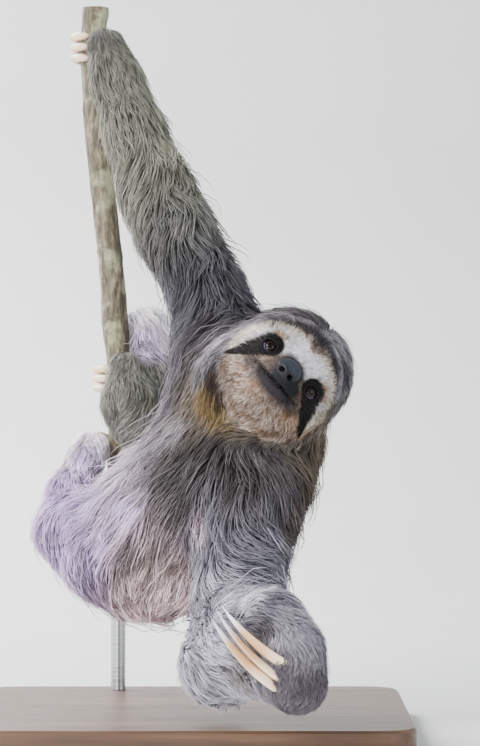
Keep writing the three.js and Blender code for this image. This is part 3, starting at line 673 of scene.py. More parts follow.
def head_traits(points, local):
    """Hair length and pelt colour of the head."""
    a, b, c = local.T
    wobble = noise(points, 5) - 0.5
    reach = np.hypot(a, b + 8)
    turn = np.arctan2(a, b + 8)
    hood = ramp(34, 44, reach)
    rings = np.stack([reach, turn * 5, c], 1)
    rays = np.stack([reach * 0.4, turn * 26, c * 0.6], 1)
    streak = noise(rings, 2.2, 1) * hood + noise(rays, 1.15, 1) * (1 - hood)
    broad = noise(rings, 6, 2)
    front = ramp(2, 10, c)

    tone = 0.35 * ramp(16, 6, np.abs(a - 10)) * ramp(28, 36, b) - 0.22 * ramp(0, -10, a) * ramp(8, 20, b)
    tone += 0.22 * ramp(-38, -46, a) * ramp(8, -6, b)
    shade = np.clip(ramp(0.3, 0.75, streak) * 0.75 + 0.5 * (broad - 0.5) + tone, 0, 1)
    colour = mix(np.tile(PELT_LINEAR["soot"], (len(a), 1)), PELT_LINEAR["mist"], shade)
    brown = ramp(24, -10, b) * ramp(26, 40, a)
    colour = mix(colour, PELT_LINEAR["umber"] * (0.5 + 0.9 * streak)[:, None], brown * 0.75)
    gold = ramp(-50, -57, b) * ramp(14, 0, a) * ramp(-38, -28, a)
    colour = mix(colour, PELT_LINEAR["ochre"] * (0.3 + 1.1 * streak)[:, None], gold * 0.85)
    gold = ramp(-40, -52, b) * ramp(-6, 12, a)
    colour = mix(colour, PELT_LINEAR["umber"] * (0.35 + 0.9 * streak)[:, None], gold * 0.9)

    rim = np.hypot((a - 1) / 46, (b + 12) / np.where(b < -12, 46, 40))
    face = ramp(1.03, 0.96, rim + 0.06 * wobble) * ramp(-14, -2, c)
    tan = mix(np.tile(PELT_LINEAR["tan"], (len(a), 1)), PELT_LINEAR["tawny"], ramp(0.62, 0.3, streak))
    tan = mix(tan, PELT_LINEAR["cream"], ramp(0.55, 0.85, streak) * 0.12 * ramp(22, 40, reach))
    tan = mix(tan, PELT_LINEAR["bark"], ramp(34, 18, reach) * 0.3)
    colour = mix(colour, tan, face)

    brow = ((np.abs(a) / 45) ** 2.5 + (np.abs(b + 8) / np.where(b < -8, 40, 32.5)) ** 2.5) ** 0.4
    band = ramp(1.02, 0.96, brow + 0.03 * wobble)
    side = (np.abs(a) - 17) * 0.739 + (b - 2) * 0.673
    inner = ramp(-7, -1, b + 2 * wobble)
    outer = ramp(0, 3, side) * ramp(-33, -20, b)
    notch = ramp(0, 2, (b - 16.3) * 1.5 - np.abs(a - 1) + wobble)
    band = band * np.maximum(inner, outer) * (1 - notch) * ramp(0, 8, c)
    pale = mix(np.tile(PELT_LINEAR["cream"], (len(a), 1)), PELT_LINEAR["straw"], ramp(0.75, 1.0, brow))
    colour = mix(colour, pale, band)

    for middle_a, middle_b, size, name, strength in FACE_PATCHES:
        away = np.hypot(a - middle_a, b - middle_b) + 2 * wobble
        share = strength * ramp(1.5 * size, 0.5 * size, away) * ramp(-20, -8, c)
        colour = mix(colour, PELT_LINEAR[name], share)
    leather = leather_distance(a, b)
    colour = mix(colour, PELT_LINEAR["muzzle"], ramp(4.5, 0.0, leather) * front * 0.85)
    bare = mix(np.tile(PELT_LINEAR["leather"], (len(a), 1)), PELT_LINEAR["chin"], ramp(-22, -27, b))
    bare = mix(bare, PELT_LINEAR["muzzle"], ramp(-4, -14, a) * ramp(-22, -20, b) * 0.7)
    colour = mix(colour, bare, ramp(1.0, -1.6, leather + 0.6 * wobble) * front)
    # Painted shade: the crease between the lips is painted dark.
    colour = mix(colour, PELT_LINEAR["sable"] * 0.3, np.minimum(1.6 * mouth_line(local), 1))
    patch = patch_distance(a, b) + 0.7 * wobble
    colour = mix(colour, PELT_LINEAR["sable"], ramp(1.0, -0.8, patch) * front)

    length = 2.4 + 4.6 * ramp(14, 38, reach) + 9 * ramp(40, 54, reach)
    length = np.where(c < 4, np.maximum(length, 17 - 1.3 * np.maximum(c + 6, 0)), length)
    return length, colour


def head_share(points, local):
    """1 on the head, 0 on the rest. In front the head's coat falls over the neck's."""
    return ramp(-5, 5, body_field(points) - head_field(local) + 7 * ramp(-8, 12, local[:, 2]))


def traits(points):
    """Hair length and pelt colour at each point. Skin and coat both take them from here."""
    local = to_head(points)
    body_length, body_colour = stretch_traits(points)
    head_length, head_colour = head_traits(points, local)
    share = head_share(points, local)
    length = body_length * (1 - share) + head_length * share
    return length, mix(body_colour, head_colour, share)


def head_lie(local):
    """How the head's coat lies, in the head's frame: out from the nose, and round from the crown."""
    a, b = local[:, 0], local[:, 1]
    reach = np.maximum(np.hypot(a, b + 8), 1)
    out_a, out_b = a / reach, (b + 8) / reach
    hood = ramp(36, 50, reach)
    turned = np.clip(a / 12, -1, 1) * hood
    round_a, round_b = out_b * turned, -out_a * turned
    along_a = out_a * (1 - 0.65 * np.abs(turned)) + round_a
    along_b = out_b * (1 - 0.65 * np.abs(turned)) + round_b
    return np.stack([along_a, along_b, -0.35 + 0.2 * hood], 1)


def lie(points):
    """Direction of the hair at each point, before it is laid along the skin."""
    total = np.tile(np.array([0.0, 0.0, -0.02]), (len(points), 1))
    for place, direction in COMBS:
        away = ((points - np.array(place)) ** 2).sum(1)
        total += np.exp(-away / (2 * COMB_REACH**2))[:, None] * unit(np.array(direction))
    local = to_head(points)
    share = head_share(points, local)
    return mix(unit(total), unit(head_lie(local)) @ HEAD_AXES, share)


# ---------------------------------------------------------------- materials


def new_material(name, **inputs):
    """A material with one Principled shader, and its node tree, shader and a place to read from."""
    material = bpy.data.materials.new(name)
    material.use_nodes = True
    tree = material.node_tree
    shader = tree.nodes["Principled BSDF"]
    for socket, value in inputs.items():
        shader.inputs[socket.replace("_", " ")].default_value = value
    place = tree.nodes.new("ShaderNodeTexCoord").outputs["Object"]
    return material, tree, shader, place


def noise_node(tree, place, scale, detail=4.0, roughness=0.6):
    node = tree.nodes.new("ShaderNodeTexNoise")
    node.inputs["Scale"].default_value = scale
    node.inputs["Detail"].default_value = detail
    node.inputs["Roughness"].default_value = roughness
    tree.links.new(place, node.inputs["Vector"])
    return node.outputs["Fac"]


def stretched(tree, place, scale):
    """The place, scaled along each axis."""
    node = tree.nodes.new("ShaderNodeMapping")
    node.inputs["Scale"].default_value = scale
    tree.links.new(place, node.inputs["Vector"])
    return node.outputs["Vector"]


def mapped(tree, value, low, high, from_low=0.3, from_high=0.7):
    node = tree.nodes.new("ShaderNodeMapRange")
    node.inputs["From Min"].default_value = from_low
    node.inputs["From Max"].default_value = from_high
    node.inputs["To Min"].default_value = low
    node.inputs["To Max"].default_value = high
    tree.links.new(value, node.inputs["Value"])
    return node.outputs["Result"]


def colour_ramp(tree, value, stops):
    node = tree.nodes.new("ShaderNodeValToRGB")
    while len(node.color_ramp.elements) < len(stops):
        node.color_ramp.elements.new(0.5)
    for element, (position, colour) in zip(node.color_ramp.elements, stops):
        element.position = position
        element.color = (*linear(colour), 1)
    tree.links.new(value, node.inputs["Fac"])
    return node.outputs["Color"]


def tinted(tree, colour, value, low, high):
    """A colour made darker and lighter by a value."""
    node = tree.nodes.new("ShaderNodeVectorMath")
    node.operation = "SCALE"
    tree.links.new(colour, node.inputs[0])
    tree.links.new(mapped(tree, value, low, high), node.inputs["Scale"])
    return node.outputs["Vector"]


def pelt_colour(tree):
    node = tree.nodes.new("ShaderNodeAttribute")
    node.attribute_name = "pelt"
    return node.outputs["Color"]


def add_bump(tree, shader, height, strength, distance):
    node = tree.nodes.new("ShaderNodeBump")
    node.inputs["Strength"].default_value = strength
    node.inputs["Distance"].default_value = distance
    tree.links.new(height, node.inputs["Height"])
    tree.links.new(node.outputs["Normal"], shader.inputs["Normal"])


def hair_material(name, rough_low, rough_high):
    material, tree, shader, place = new_material(name)
    shader.inputs["Sheen Weight"].default_value = 0.05
    shader.inputs["Sheen Roughness"].default_value = 0.5
    shader.inputs["Specular IOR Level"].default_value = 0.12
    fine = noise_node(tree, place, 420, 3)
    tree.links.new(tinted(tree, pelt_colour(tree), fine, 0.86, 1.14), shader.inputs["Base Color"])
    tree.links.new(mapped(tree, fine, rough_low, rough_high), shader.inputs["Roughness"])
    add_bump(tree, shader, fine, 0.25, 0.0003)
    return material


def skin_material():
    material, tree, shader, place = new_material("skin")
    shader.inputs["Specular IOR Level"].default_value = 0.15
    fine = noise_node(tree, place, 900, 4)
    coarse = noise_node(tree, place, 160, 5)
    tree.links.new(tinted(tree, pelt_colour(tree), coarse, 0.8, 1.15), shader.inputs["Base Color"])
    wet = tree.nodes.new("ShaderNodeAttribute")
    wet.attribute_name = "wet"
    tree.links.new(mapped(tree, wet.outputs["Fac"], 0.85, 0.26, 0, 1), shader.inputs["Roughness"])
    add_bump(tree, shader, fine, 0.5, 0.0004)
    return material


def leather_material():
    material, tree, shader, place = new_material("nose_leather")
    shader.inputs["Specular IOR Level"].default_value = 0.2
    cells = tree.nodes.new("ShaderNodeTexVoronoi")
    cells.inputs["Scale"].default_value = 900
    tree.links.new(place, cells.inputs["Vector"])
    coarse = noise_node(tree, place, 220)
    tree.links.new(tinted(tree, pelt_colour(tree), coarse, 0.75, 1.3), shader.inputs["Base Color"])
    tree.links.new(mapped(tree, coarse, 0.3, 0.5), shader.inputs["Roughness"])
    add_bump(tree, shader, cells.outputs["Distance"], 0.35, 0.0005)
    return material


def eye_material():
    material, tree, shader, place = new_material("eye")
    shader.inputs["Specular IOR Level"].default_value = 0.05
    shader.inputs["Coat Weight"].default_value = 0.25
    shader.inputs["Coat Roughness"].default_value = 0.04
    fibres = noise_node(tree, place, 1500, 3)
    tree.links.new(tinted(tree, pelt_colour(tree), fibres, 0.7, 1.35), shader.inputs["Base Color"])
    tree.links.new(mapped(tree, fibres, 0.08, 0.16), shader.inputs["Roughness"])
    add_bump(tree, shader, fibres, 0.05, 0.0001)
    return material


def claw_material():
    material, tree, shader, _ = new_material("claw")
    shader.inputs["Subsurface Weight"].default_value = 0.15
    shader.inputs["Subsurface Radius"].default_value = (0.004, 0.003, 0.002)
    shader.inputs["Specular IOR Level"].default_value = 0.5
    streaks = tree.nodes.new("ShaderNodeAttribute")
    streaks.attribute_name = "grain"
    lines = noise_node(tree, streaks.outputs["Vector"], 9, 4)
    tree.links.new(tinted(tree, pelt_colour(tree), lines, 0.82, 1.12), shader.inputs["Base Color"])
    tree.links.new(mapped(tree, lines, 0.3, 0.5), shader.inputs["Roughness"])
    add_bump(tree, shader, lines, 0.3, 0.0004)
    return material


def bark_material():
    material, tree, shader, place = new_material("bark")
    ridges = noise_node(tree, stretched(tree, place, (260, 260, 60)), 1, 6, 0.65)
    blotches = noise_node(tree, place, 38, 4)
    bark = colour_ramp(tree, ridges, [(0.3, (44, 38, 31)), (0.5, (94, 86, 70)), (0.72, (150, 144, 118))])
    lichen = tree.nodes.new("ShaderNodeMix")
    lichen.data_type = "RGBA"
    tree.links.new(mapped(tree, blotches, 0, 0.75, 0.54, 0.66), lichen.inputs["Factor"])
    tree.links.new(bark, lichen.inputs["A"])
    lichen.inputs["B"].default_value = (*linear((160, 164, 132)), 1)
    tree.links.new(lichen.outputs["Result"], shader.inputs["Base Color"])
    tree.links.new(mapped(tree, ridges, 0.75, 0.95), shader.inputs["Roughness"])
    add_bump(tree, shader, ridges, 0.9, 0.0015)
    return material


def sawn_material():
    material, tree, shader, place = new_material("sawn_wood")
    rings = tree.nodes.new("ShaderNodeTexWave")
    rings.wave_type = "RINGS"
    rings.rings_direction = "Z"
    rings.inputs["Scale"].default_value = 180
    rings.inputs["Distortion"].default_value = 2.0
    tree.links.new(place, rings.inputs["Vector"])
    wood = colour_ramp(tree, rings.outputs["Fac"], [(0.2, (150, 118, 80)), (0.8, (198, 168, 126))])
    tree.links.new(wood, shader.inputs["Base Color"])
    tree.links.new(mapped(tree, rings.outputs["Fac"], 0.6, 0.75, 0, 1), shader.inputs["Roughness"])
    add_bump(tree, shader, rings.outputs["Fac"], 0.3, 0.0003)
    return material


def board_material():
    material, tree, shader, place = new_material("board")
    grain = noise_node(tree, stretched(tree, place, (4, 70, 70)), 1, 6, 0.6)
    fine = noise_node(tree, stretched(tree, place, (30, 600, 600)), 1, 3)
    wood = colour_ramp(tree, grain, [(0.3, (58, 38, 26)), (0.52, (84, 58, 40)), (0.7, (112, 80, 56))])
    tree.links.new(tinted(tree, wood, fine, 0.85, 1.1), shader.inputs["Base Color"])
    tree.links.new(mapped(tree, fine, 0.34, 0.5), shader.inputs["Roughness"])
    add_bump(tree, shader, fine, 0.2, 0.0004)
    return material


def steel_material():
    material, tree, shader, place = new_material("brushed_steel", Metallic=1.0)
    brush = noise_node(tree, stretched(tree, place, (40, 40, 1600)), 1, 3)
    steel = colour_ramp(tree, brush, [(0.3, (150, 151, 154)), (0.7, (186, 187, 190))])
    tree.links.new(steel, shader.inputs["Base Color"])
    tree.links.new(mapped(tree, brush, 0.24, 0.4), shader.inputs["Roughness"])
    add_bump(tree, shader, brush, 0.15, 0.0002)
    return material


# ---------------------------------------------------------------- meshes


def new_object(name, mesh, *materials):
    obj = bpy.data.objects.new(name, mesh)
    for material in materials:
        mesh.materials.append(material)
    bpy.context.scene.collection.objects.link(obj)
    mesh.polygons.foreach_set("use_smooth", np.ones(len(mesh.polygons), dtype=bool))
    return obj


def mesh_of(name, corners, faces):
    """A mesh from corners in millimetres and faces that all have the same number of corners."""
    mesh = bpy.data.meshes.new(name)
    sides = faces.shape[1]
    mesh.vertices.add(len(corners))
    mesh.vertices.foreach_set("co", (corners * MM).ravel())
    mesh.loops.add(faces.size)
    mesh.loops.foreach_set("vertex_index", faces.ravel())
    mesh.polygons.add(len(faces))
    mesh.polygons.foreach_set("loop_start", np.arange(0, faces.size, sides))
    mesh.update(calc_edges=True)
    return mesh


def corners_of(mesh):
    """A mesh's corners in millimetres."""
    flat = np.empty(3 * len(mesh.vertices))
    mesh.vertices.foreach_get("co", flat)
    return flat.reshape(-1, 3) / MM


def paint(mesh, colours, name="pelt"):
    attribute = mesh.attributes.new(name, "FLOAT_COLOR", "POINT")
    rows = np.ones((len(colours), 4))
    rows[:, :3] = colours
    attribute.data.foreach_set("color", rows.ravel())


def set_values(mesh, values, name):
    attribute = mesh.attributes.new(name, "FLOAT", "POINT")
    attribute.data.foreach_set("value", values)


def ring_mesh(name, rings):
    """A mesh from rings of corners, each joined to the next, with a fan over each end."""
    count, sides = rings.shape[:2]
    corners = rings.reshape(-1, 3)
    faces = []
    for ring in range(count - 1):
        for side in range(sides):
            after = (side + 1) % sides
            a, b = ring * sides + side, ring * sides + after
            faces.append((a, b, b + sides, a + sides))
    mesh = bpy.data.meshes.new(name)
    points = [tuple(p) for p in corners * MM]
    for ring in (0, count - 1):
        points.append(tuple(rings[ring].mean(0) * MM))
        hub = len(points) - 1
        for side in range(sides):
            a, b = ring * sides + side, ring * sides + (side + 1) % sides
            faces.append((b, a, hub) if ring == 0 else (a, b, hub))
    mesh.from_pydata(points, [], faces)
    mesh.update()
    return mesh


# ---------------------------------------------------------------- skin


def is_face(local):
    """True on the part of the head's front that has a finer skin."""
    return (np.abs(local[:, 0]) < 48) & (np.abs(local[:, 1] + 10) < 40) & (local[:, 2] > 14)


def is_muzzle(local):
    """True round the nose, the mouth and the eyes, where the skin is finest."""
    muzzle = np.hypot(local[:, 0] / 26, (local[:, 1] + 17) / 19) < 1
    for side in (-1, 1):
        muzzle |= eye_opening(local, side) < 2.2
    return muzzle & (local[:, 2] > 18)


def subdivide(shape, chosen, cuts):
    """Cuts up the edges of the part of a mesh that chosen picks out in the head's frame."""
    shape.verts.index_update()
    places = np.array([vert.co for vert in shape.verts]) / MM
    inside = chosen(to_head(places))
    edges = [edge for edge in shape.edges if inside[edge.verts[0].index] and inside[edge.verts[1].index]]
    bmesh.ops.subdivide_edges(shape, edges=edges, cuts=cuts, use_grid_fill=True)


def make_skin():
    places = np.array([joint_skin(name)[0] for name in JOINTS])
    low, high = places.min(0) - SKIN_ROOM, places.max(0) + SKIN_ROOM
    corners, quads = surface_of(plain_field, low, high, SKIN_CELL)
    corners = settled(plain_field, corners, rounds=2)
    mesh = mesh_of("skin", corners, quads)
    shape = bmesh.new()
    shape.from_mesh(mesh)
    subdivide(shape, is_face, 2)
    subdivide(shape, is_muzzle, 1)
    shape.to_mesh(mesh)
    shape.free()
    corners = corners_of(mesh)
    front = to_head(corners)[:, 2] > 12
    corners[front] = settled(skin_field, corners[front], rounds=4)
    mesh.vertices.foreach_set("co", (corners * MM).ravel())
    length, colour = traits(corners)
    # Painted shade: the skin is painted darker where longer hair lies over it.
    shade = 0.55 + 0.4 * ramp(22, 5, length)
    local = to_head(corners)
    a, b, c = local.T
    lips = ramp(2.6, 1.0, np.abs(b - mouth_height(a, c))) * ramp(12, 8, np.abs(a - 2))
    wet = np.maximum(0.3 * ramp(0, -3, leather_distance(a, b)), lips) * ramp(14, 22, c)
    for side in (-1, 1):
        opening = eye_opening(local, side)
        wet = np.maximum(wet, 0.8 * ramp(1.3, 1.1, opening))
        colour = mix(colour, PELT_LINEAR["sable"] * 0.6, ramp(1.9, 1.5, opening))
    paint(mesh, colour * shade[:, None])
    set_values(mesh, wet, "wet")
    skin = new_object("skin", mesh, skin_material())
    unwrap(skin)
    return skin


def unwrap(obj):
    """Unwraps an object by its own shape."""
    bpy.ops.object.select_all(action="DESELECT")
    bpy.context.view_layer.objects.active = obj
    obj.select_set(True)
    obj.data.uv_layers.new(name="OFBake")
    bpy.ops.object.mode_set(mode="EDIT")
    bpy.ops.mesh.select_all(action="SELECT")
    bpy.ops.uv.smart_project(angle_limit=math.radians(66), island_margin=0.001)
    bpy.ops.object.mode_set(mode="OBJECT")
    obj.select_set(False)


def make_nose():
    """The nose pad: the skin's own surface there, a little proud of it."""
    region_at = (0, NOSE_PAD["up"], NOSE_PAD["forward"])

    def field(points):
        local = to_head(points)
        pad = ellipsoid(local, region_at, NOSE_PAD["half"])
        skin = face_features(local, head_field(local)) - NOSE_PAD["proud"]
        return -blend_of(-skin, -pad, NOSE_PAD["rim"])

    middle = from_head(region_at)
    reach = max(NOSE_PAD["half"]) + 4
    corners, quads = surface_of(field, middle - reach, middle + reach, NOSE_CELL)
    corners = settled(field, corners, rounds=2)
    mesh = mesh_of("nose_pad", corners, quads)
    local = to_head(corners)
    pit = np.minimum(nostril_share(local, -1), nostril_share(local, 1))
    colour = np.tile(PELT_LINEAR["leather"], (len(corners), 1))
    # Painted highlight: the top of the pad is painted a lighter blue-grey.
    colour = mix(colour, PELT_LINEAR["painted_nose_sheen"], ramp(-14, -5, local[:, 1]) * 0.8)
    # Painted shade: the shallow nostril pits are painted near black.
    colour = mix(colour, PELT_LINEAR["sable"] * 0.1, ramp(1.25, 0.9, pit))
    paint(mesh, colour)
    return new_object("nose_pad", mesh, leather_material())


# ---------------------------------------------------------------- coat


def tuft_roots(skin, rng, thinning):
    """Places on the skin where tufts grow, and where each is on the skin's unwrap."""
    mesh = skin.data
    mesh.calc_loop_triangles()
    count = len(mesh.loop_triangles)
    verts = np.empty(3 * count, dtype=int)
    loops = np.empty(3 * count, dtype=int)
    mesh.loop_triangles.foreach_get("vertices", verts)
    mesh.loop_triangles.foreach_get("loops", loops)
    uvs = np.empty(2 * len(mesh.loops))
    mesh.uv_layers["OFBake"].data.foreach_get("uv", uvs)
    uvs = uvs.reshape(-1, 2)[loops.reshape(-1, 3)]
    triangles = corners_of(mesh)[verts.reshape(-1, 3)]
    sides = triangles[:, 1:] - triangles[:, :1]
    area = np.linalg.norm(np.cross(sides[:, 0], sides[:, 1]), axis=1) / 2
    middle = triangles.mean(1)
    length, _ = traits(middle)
    density = TUFTS_PER_MM2 / np.maximum(length, 4) * growth(middle) * thinning
    total = np.cumsum(area * density)
    picks = np.searchsorted(total, rng.random(int(total[-1])) * total[-1])
    share = rng.random((len(picks), 2))
    share = np.where(share.sum(1, keepdims=True) > 1, 1 - share, share)
    weights = np.concatenate([1 - share.sum(1, keepdims=True), share], 1)[..., None]
    return (triangles[picks] * weights).sum(1), (uvs[picks] * weights).sum(1)


def growth(points):
    """How thickly hair grows: 1 in the coat, 0 on bare skin."""
    local = to_head(points)
    a, b, c = local.T
    bare = ramp(0.0, -3.2, leather_distance(a, b)) * ramp(10, 18, c)
    bare = np.maximum(bare, np.minimum(3 * mouth_line(local), 1))
    for side in (-1, 1):
        bare = np.maximum(bare, ramp(1.6, 1.3, eye_opening(local, side)))
    return 1 - bare


def grow(roots, rng):
    """Middle lines, widths and colours of the tufts that grow from these roots."""
    count = len(roots)
    length, _ = traits(roots)
    length = length * rng.uniform(0.65, 1.2, count)
    wisp = rng.random(count) < WISPS["share"]
    length = np.where(wisp, length * WISPS["longer"], length)
    height = COAT_DEPTH * length * rng.uniform(0.5, 1.05, count) * np.where(wisp, WISPS["higher"], 1)
    turn = (noise(roots, 15) - 0.5) * 1.3 + rng.normal(0, 0.1, count)
    curl = (noise(roots, 22, 1) - 0.5) * 1.2 + rng.normal(0, 0.15, count)
    line = [settled(plain_field, roots, -0.4)]
    place = roots
    stops = list(HAIR_RINGS[1:]) + [1.0]
    before = 0.0
    frames = []
    for stop in stops:
        _, up = slope_of(plain_field, place)
        up = unit(up)
        along = lie(place)
        along = unit(along - (along * up).sum(1, keepdims=True) * up)
        across = np.cross(up, along)
        angle = (turn + curl * stop)[:, None]
        heading = along * np.cos(angle) + across * np.sin(angle)
        frames.append((np.cross(up, heading), up))
        place = place + heading * (length * (stop - before))[:, None]
        rise = 1 - (1 - stop) ** 2
        place = settled(plain_field, place, height * rise)
        line.append(place)
        before = stop
    line = np.stack(line, 1)
    _, colour = traits(line[:, 2])
    seeds = np.arange(0, count, LOCK)
    tree = KDTree(len(seeds))
    for number, seed in enumerate(seeds):
        tree.insert(line[seed, 1], number)
    tree.balance()
    lock = np.array([tree.find(point)[1] for point in line[:, 1]])
    leader = seeds[lock]
    near = np.linalg.norm(line[:, 0] - line[leader, 0], axis=1) < 0.35 * length
    pull = np.where(near, 0.45, 0.0)[:, None, None] * np.array(LOCK_PULL)[None, :, None]
    line = line + (line[leader] - line) * pull
    grain = np.stack([noise(roots, 11, 2), noise(roots + 40 * lie(roots), 7, 1)], 1)
    drift = (ramp(0.25, 0.75, grain) * (0.4, 0.3)).sum(1)
    lock_tone = rng.uniform(0.5, 0.95, len(seeds))[lock] + drift
    tone = lock_tone * rng.uniform(0.84, 1.16, count)
    return line, frames, length, colour * tone[:, None]


def tuft_piece(name, line, frames, length, colour, uv, material, root_painted_shade):
    """One joined mesh of closed tapered tufts with three sides, darkened towards their roots with
    painted shade.
    """
    count = len(line)
    half = TUFT_HALF_WIDTH[0] + TUFT_HALF_WIDTH[1] * length
    rings = len(HAIR_RINGS)
    per_tuft = 3 * rings + 1
    corners = np.empty((count, per_tuft, 3))
    shades = np.empty((count, per_tuft, 3))
    spots = np.empty((count, per_tuft, 2))
    for ring, (stop, swell) in enumerate(zip(HAIR_RINGS, HAIR_SWELL)):
        across, up = frames[min(ring, len(frames) - 1)]
        for corner in range(3):
            angle = 2 * math.pi * corner / 3 + math.pi / 2
            wide = across * math.cos(angle) + up * math.sin(angle) * 0.6
            corners[:, 3 * ring + corner] = line[:, ring] + wide * (half * swell)[:, None]
            spots[:, 3 * ring + corner] = uv + np.array([(corner - 1) * 0.4, stop - 0.5]) * PATCH
        # Painted shade: the tuft's colour darkens from its tip down to its root.
        shade = root_painted_shade + (TIP_SHADE - root_painted_shade) * stop
        shades[:, 3 * ring : 3 * ring + 3] = (colour * shade)[:, None]
    corners[:, -1] = line[:, -1]
    shades[:, -1] = colour * TIP_SHADE
    spots[:, -1] = uv + np.array([0, 0.5]) * PATCH
    faces = [(2, 1, 0)]
    for ring in range(rings - 1):
        for side in range(3):
            a, b = 3 * ring + side, 3 * ring + (side + 1) % 3
            faces += [(a, b, b + 3), (a, b + 3, a + 3)]
    last = 3 * (rings - 1)
    faces += [(last + side, last + (side + 1) % 3, per_tuft - 1) for side in range(3)]
    faces = np.array(faces)
    all_faces = (faces[None] + per_tuft * np.arange(count)[:, None, None]).reshape(-1, 3)
    mesh = mesh_of(name, corners.reshape(-1, 3), all_faces)
    paint(mesh, shades.reshape(-1, 3))
    layer = mesh.uv_layers.new(name="OFBake")
    layer.data.foreach_set("uv", np.clip(spots, 0, 1).reshape(-1, 2)[all_faces.ravel()].ravel())
    return new_object(name, mesh, material)


# Regions of the coat, each a piece or a few: the joints that each is nearest to.
COAT_REGIONS = {
    "trunk": (
        "pelvis", "loin", "belly", "chest", "back", "neckBase", "neckTop", "nape", "tailRoot", "tailTip",
    ),
    "arm_left": ("leftShoulder", "leftUpperArm", "leftElbow", "leftForearm", "leftHeel", "leftWrist"),
    "hand_left": ("leftPalm", "leftKnuckles"),
    "arm_right": ("rightShoulder", "rightUpperArm", "rightArmBend", "rightElbow", "rightForearm"),
    "hand_right": ("rightWrist", "rightPalm"),
    "leg_left": ("leftHip", "leftThigh", "leftKnee", "leftShin", "leftAnkle", "leftSole"),
    "leg_right": (
        "rightHip", "rightThigh", "rightKnee", "rightShin", "rightAnkle", "rightInstep", "rightSole",
    ),
}


def region_of(points):
    """The name of each point's region of the coat."""
    names = list(COAT_REGIONS)
    far = []
    for name in names:
        places = np.array([JOINTS[joint][:4] for joint in COAT_REGIONS[name]], dtype=float)
        away = np.linalg.norm(points[:, None] - places[None, :, :3], axis=2) - places[:, 3]
        far.append(away.min(1))
    region = np.array(names, dtype=object)[np.argmin(np.stack(far), 0)]
    local = to_head(points)
    on_head = head_share(points, local) > 0.5
    short_haired = np.hypot(local[:, 0] / 46, (local[:, 1] + 8) / 42) < 1
    region[on_head] = "hood"
    region[on_head & short_haired & (local[:, 2] > 0)] = "face"
    return region


def make_coat(skin):
    rng = np.random.default_rng(SEED)
    roots, uv = tuft_roots(skin, rng, 1.0)
    line, frames, length, colour = grow(roots, rng)
    region = region_of(roots)
    coat = hair_material("coat", 0.5, 0.72)
    short = hair_material("face_fur", 0.6, 0.8)
    for name in [*COAT_REGIONS, "hood", "face"]:
        chosen = np.flatnonzero(region == name)
        parts = max(1, math.ceil(len(chosen) / PIECE_TUFTS))
        for part, members in enumerate(np.array_split(chosen, parts)):
            label = f"coat_{name}" + (f"_{part + 1}" if parts > 1 else "")
            picked = [(across[members], up[members]) for across, up in frames]
            material = short if name == "face" else coat
            piece = tuft_piece(
                label,
                line[members],
                picked,
                length[members],
                colour[members],
                uv[members],
                material,
                FACE_ROOT_PAINTED_SHADE if name == "face" else ROOT_PAINTED_SHADE,
            )
            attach(piece, "root")


# ---------------------------------------------------------------- eyes and claws


def make_eye(side, material):
    """An eyeball with a pupil, a brown iris and a bulging cornea."""
    middle, axes = eye_frame(side)
    gaze = unit(axes[2] + np.array([-side * EYE_GAZE[0], EYE_GAZE[1], 0]))
    across = unit(np.cross([0, 1.0, 0], gaze))
    upward = np.cross(gaze, across)
    front, back = EYE_MESH["front"], EYE_MESH["back"]
    angles = np.concatenate([np.linspace(0.01, 0.95, front), np.linspace(1.0, math.pi - 0.02, back)])
    around = np.linspace(0, 2 * math.pi, EYE_MESH["sides"], endpoint=False)
    rows = []
    for angle in angles:
        bulge = EYE["radius"] * (1 + 0.06 * ramp(0.95, 0.2, angle))
        ring = np.outer(np.cos(around), across) + np.outer(np.sin(around), upward)
        rows.append(middle + bulge * (math.cos(angle) * gaze + math.sin(angle) * ring))
    rows = np.array(rows)
    mesh = ring_mesh("eye", from_head(rows.reshape(-1, 3)).reshape(rows.shape)[::-1])
    local = to_head(corners_of(mesh)) - middle
    angle = np.arccos(np.clip(unit(local) @ gaze, -1, 1))
    colour = np.tile(linear(IRIS), (len(local), 1))
    colour = mix(colour, linear(PUPIL), ramp(0.40, 0.32, angle))
    colour = mix(colour, linear(IRIS_RIM), ramp(0.52, 0.64, angle))
    lower = unit(local)[:, 1] - 0.35 * side * unit(local)[:, 0]
    white = ramp(0.66, 0.72, angle) * ramp(-0.3, -0.45, lower)
    colour = mix(colour, linear(EYE_WHITE), white * 0.8)
    paint(mesh, colour)
    name = "eyeball_left" if side > 0 else "eyeball_right"
    obj = new_object(name, mesh, material)
    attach(obj, "root")
    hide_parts("eye_left" if side > 0 else "eye_right")


# Claws: half sizes across, how they narrow, and the share of their length that is in the flesh.
CLAW = {"half_depth": 5.1, "half_width": 2.9, "taper": 2.6, "buried": 0.02}
# Each set of three claws: roots, tips, how their middles are bent aside, and how far each is turned.
CLAW_SETS = {
    "left_hand": (
        [(68.8, -200, 56.5), (73.6, -200, 61), (81, -200, 69.5)],
        [(19.3, -168, 105.5), (22.8, -168, 111), (27, -168, 113.5)],
        (-5.4, -14, -5.9),
        (0, 22, 78),
    ),
    "right_hand": (
        [(-84, 97, 537), (-84, 97, 546), (-84, 97, 555)],
        [(-80, 143, 532), (-80, 143, 540), (-80, 143, 548)],
        (-27, -2, 6),
        (0, 0, 0),
    ),
    "left_foot": (
        [(-77, 107, 214), (-77, 107, 222), (-77, 107, 230)],
        [(-38, 134, 205), (-38, 134, 212), (-38, 134, 219)],
        (-15, 32, 2),
        (0, 0, 0),
    ),
    "right_foot": (
        [(-66, 96, 268), (-66, 96, 276), (-66, 96, 284)],
        [(-62, 142, 261), (-62, 142, 268), (-62, 142, 275)],
        (-25, -3, 4),
        (0, 0, 0),
    ),
}
CLAW_SIDES = 24
CLAW_RINGS = 44
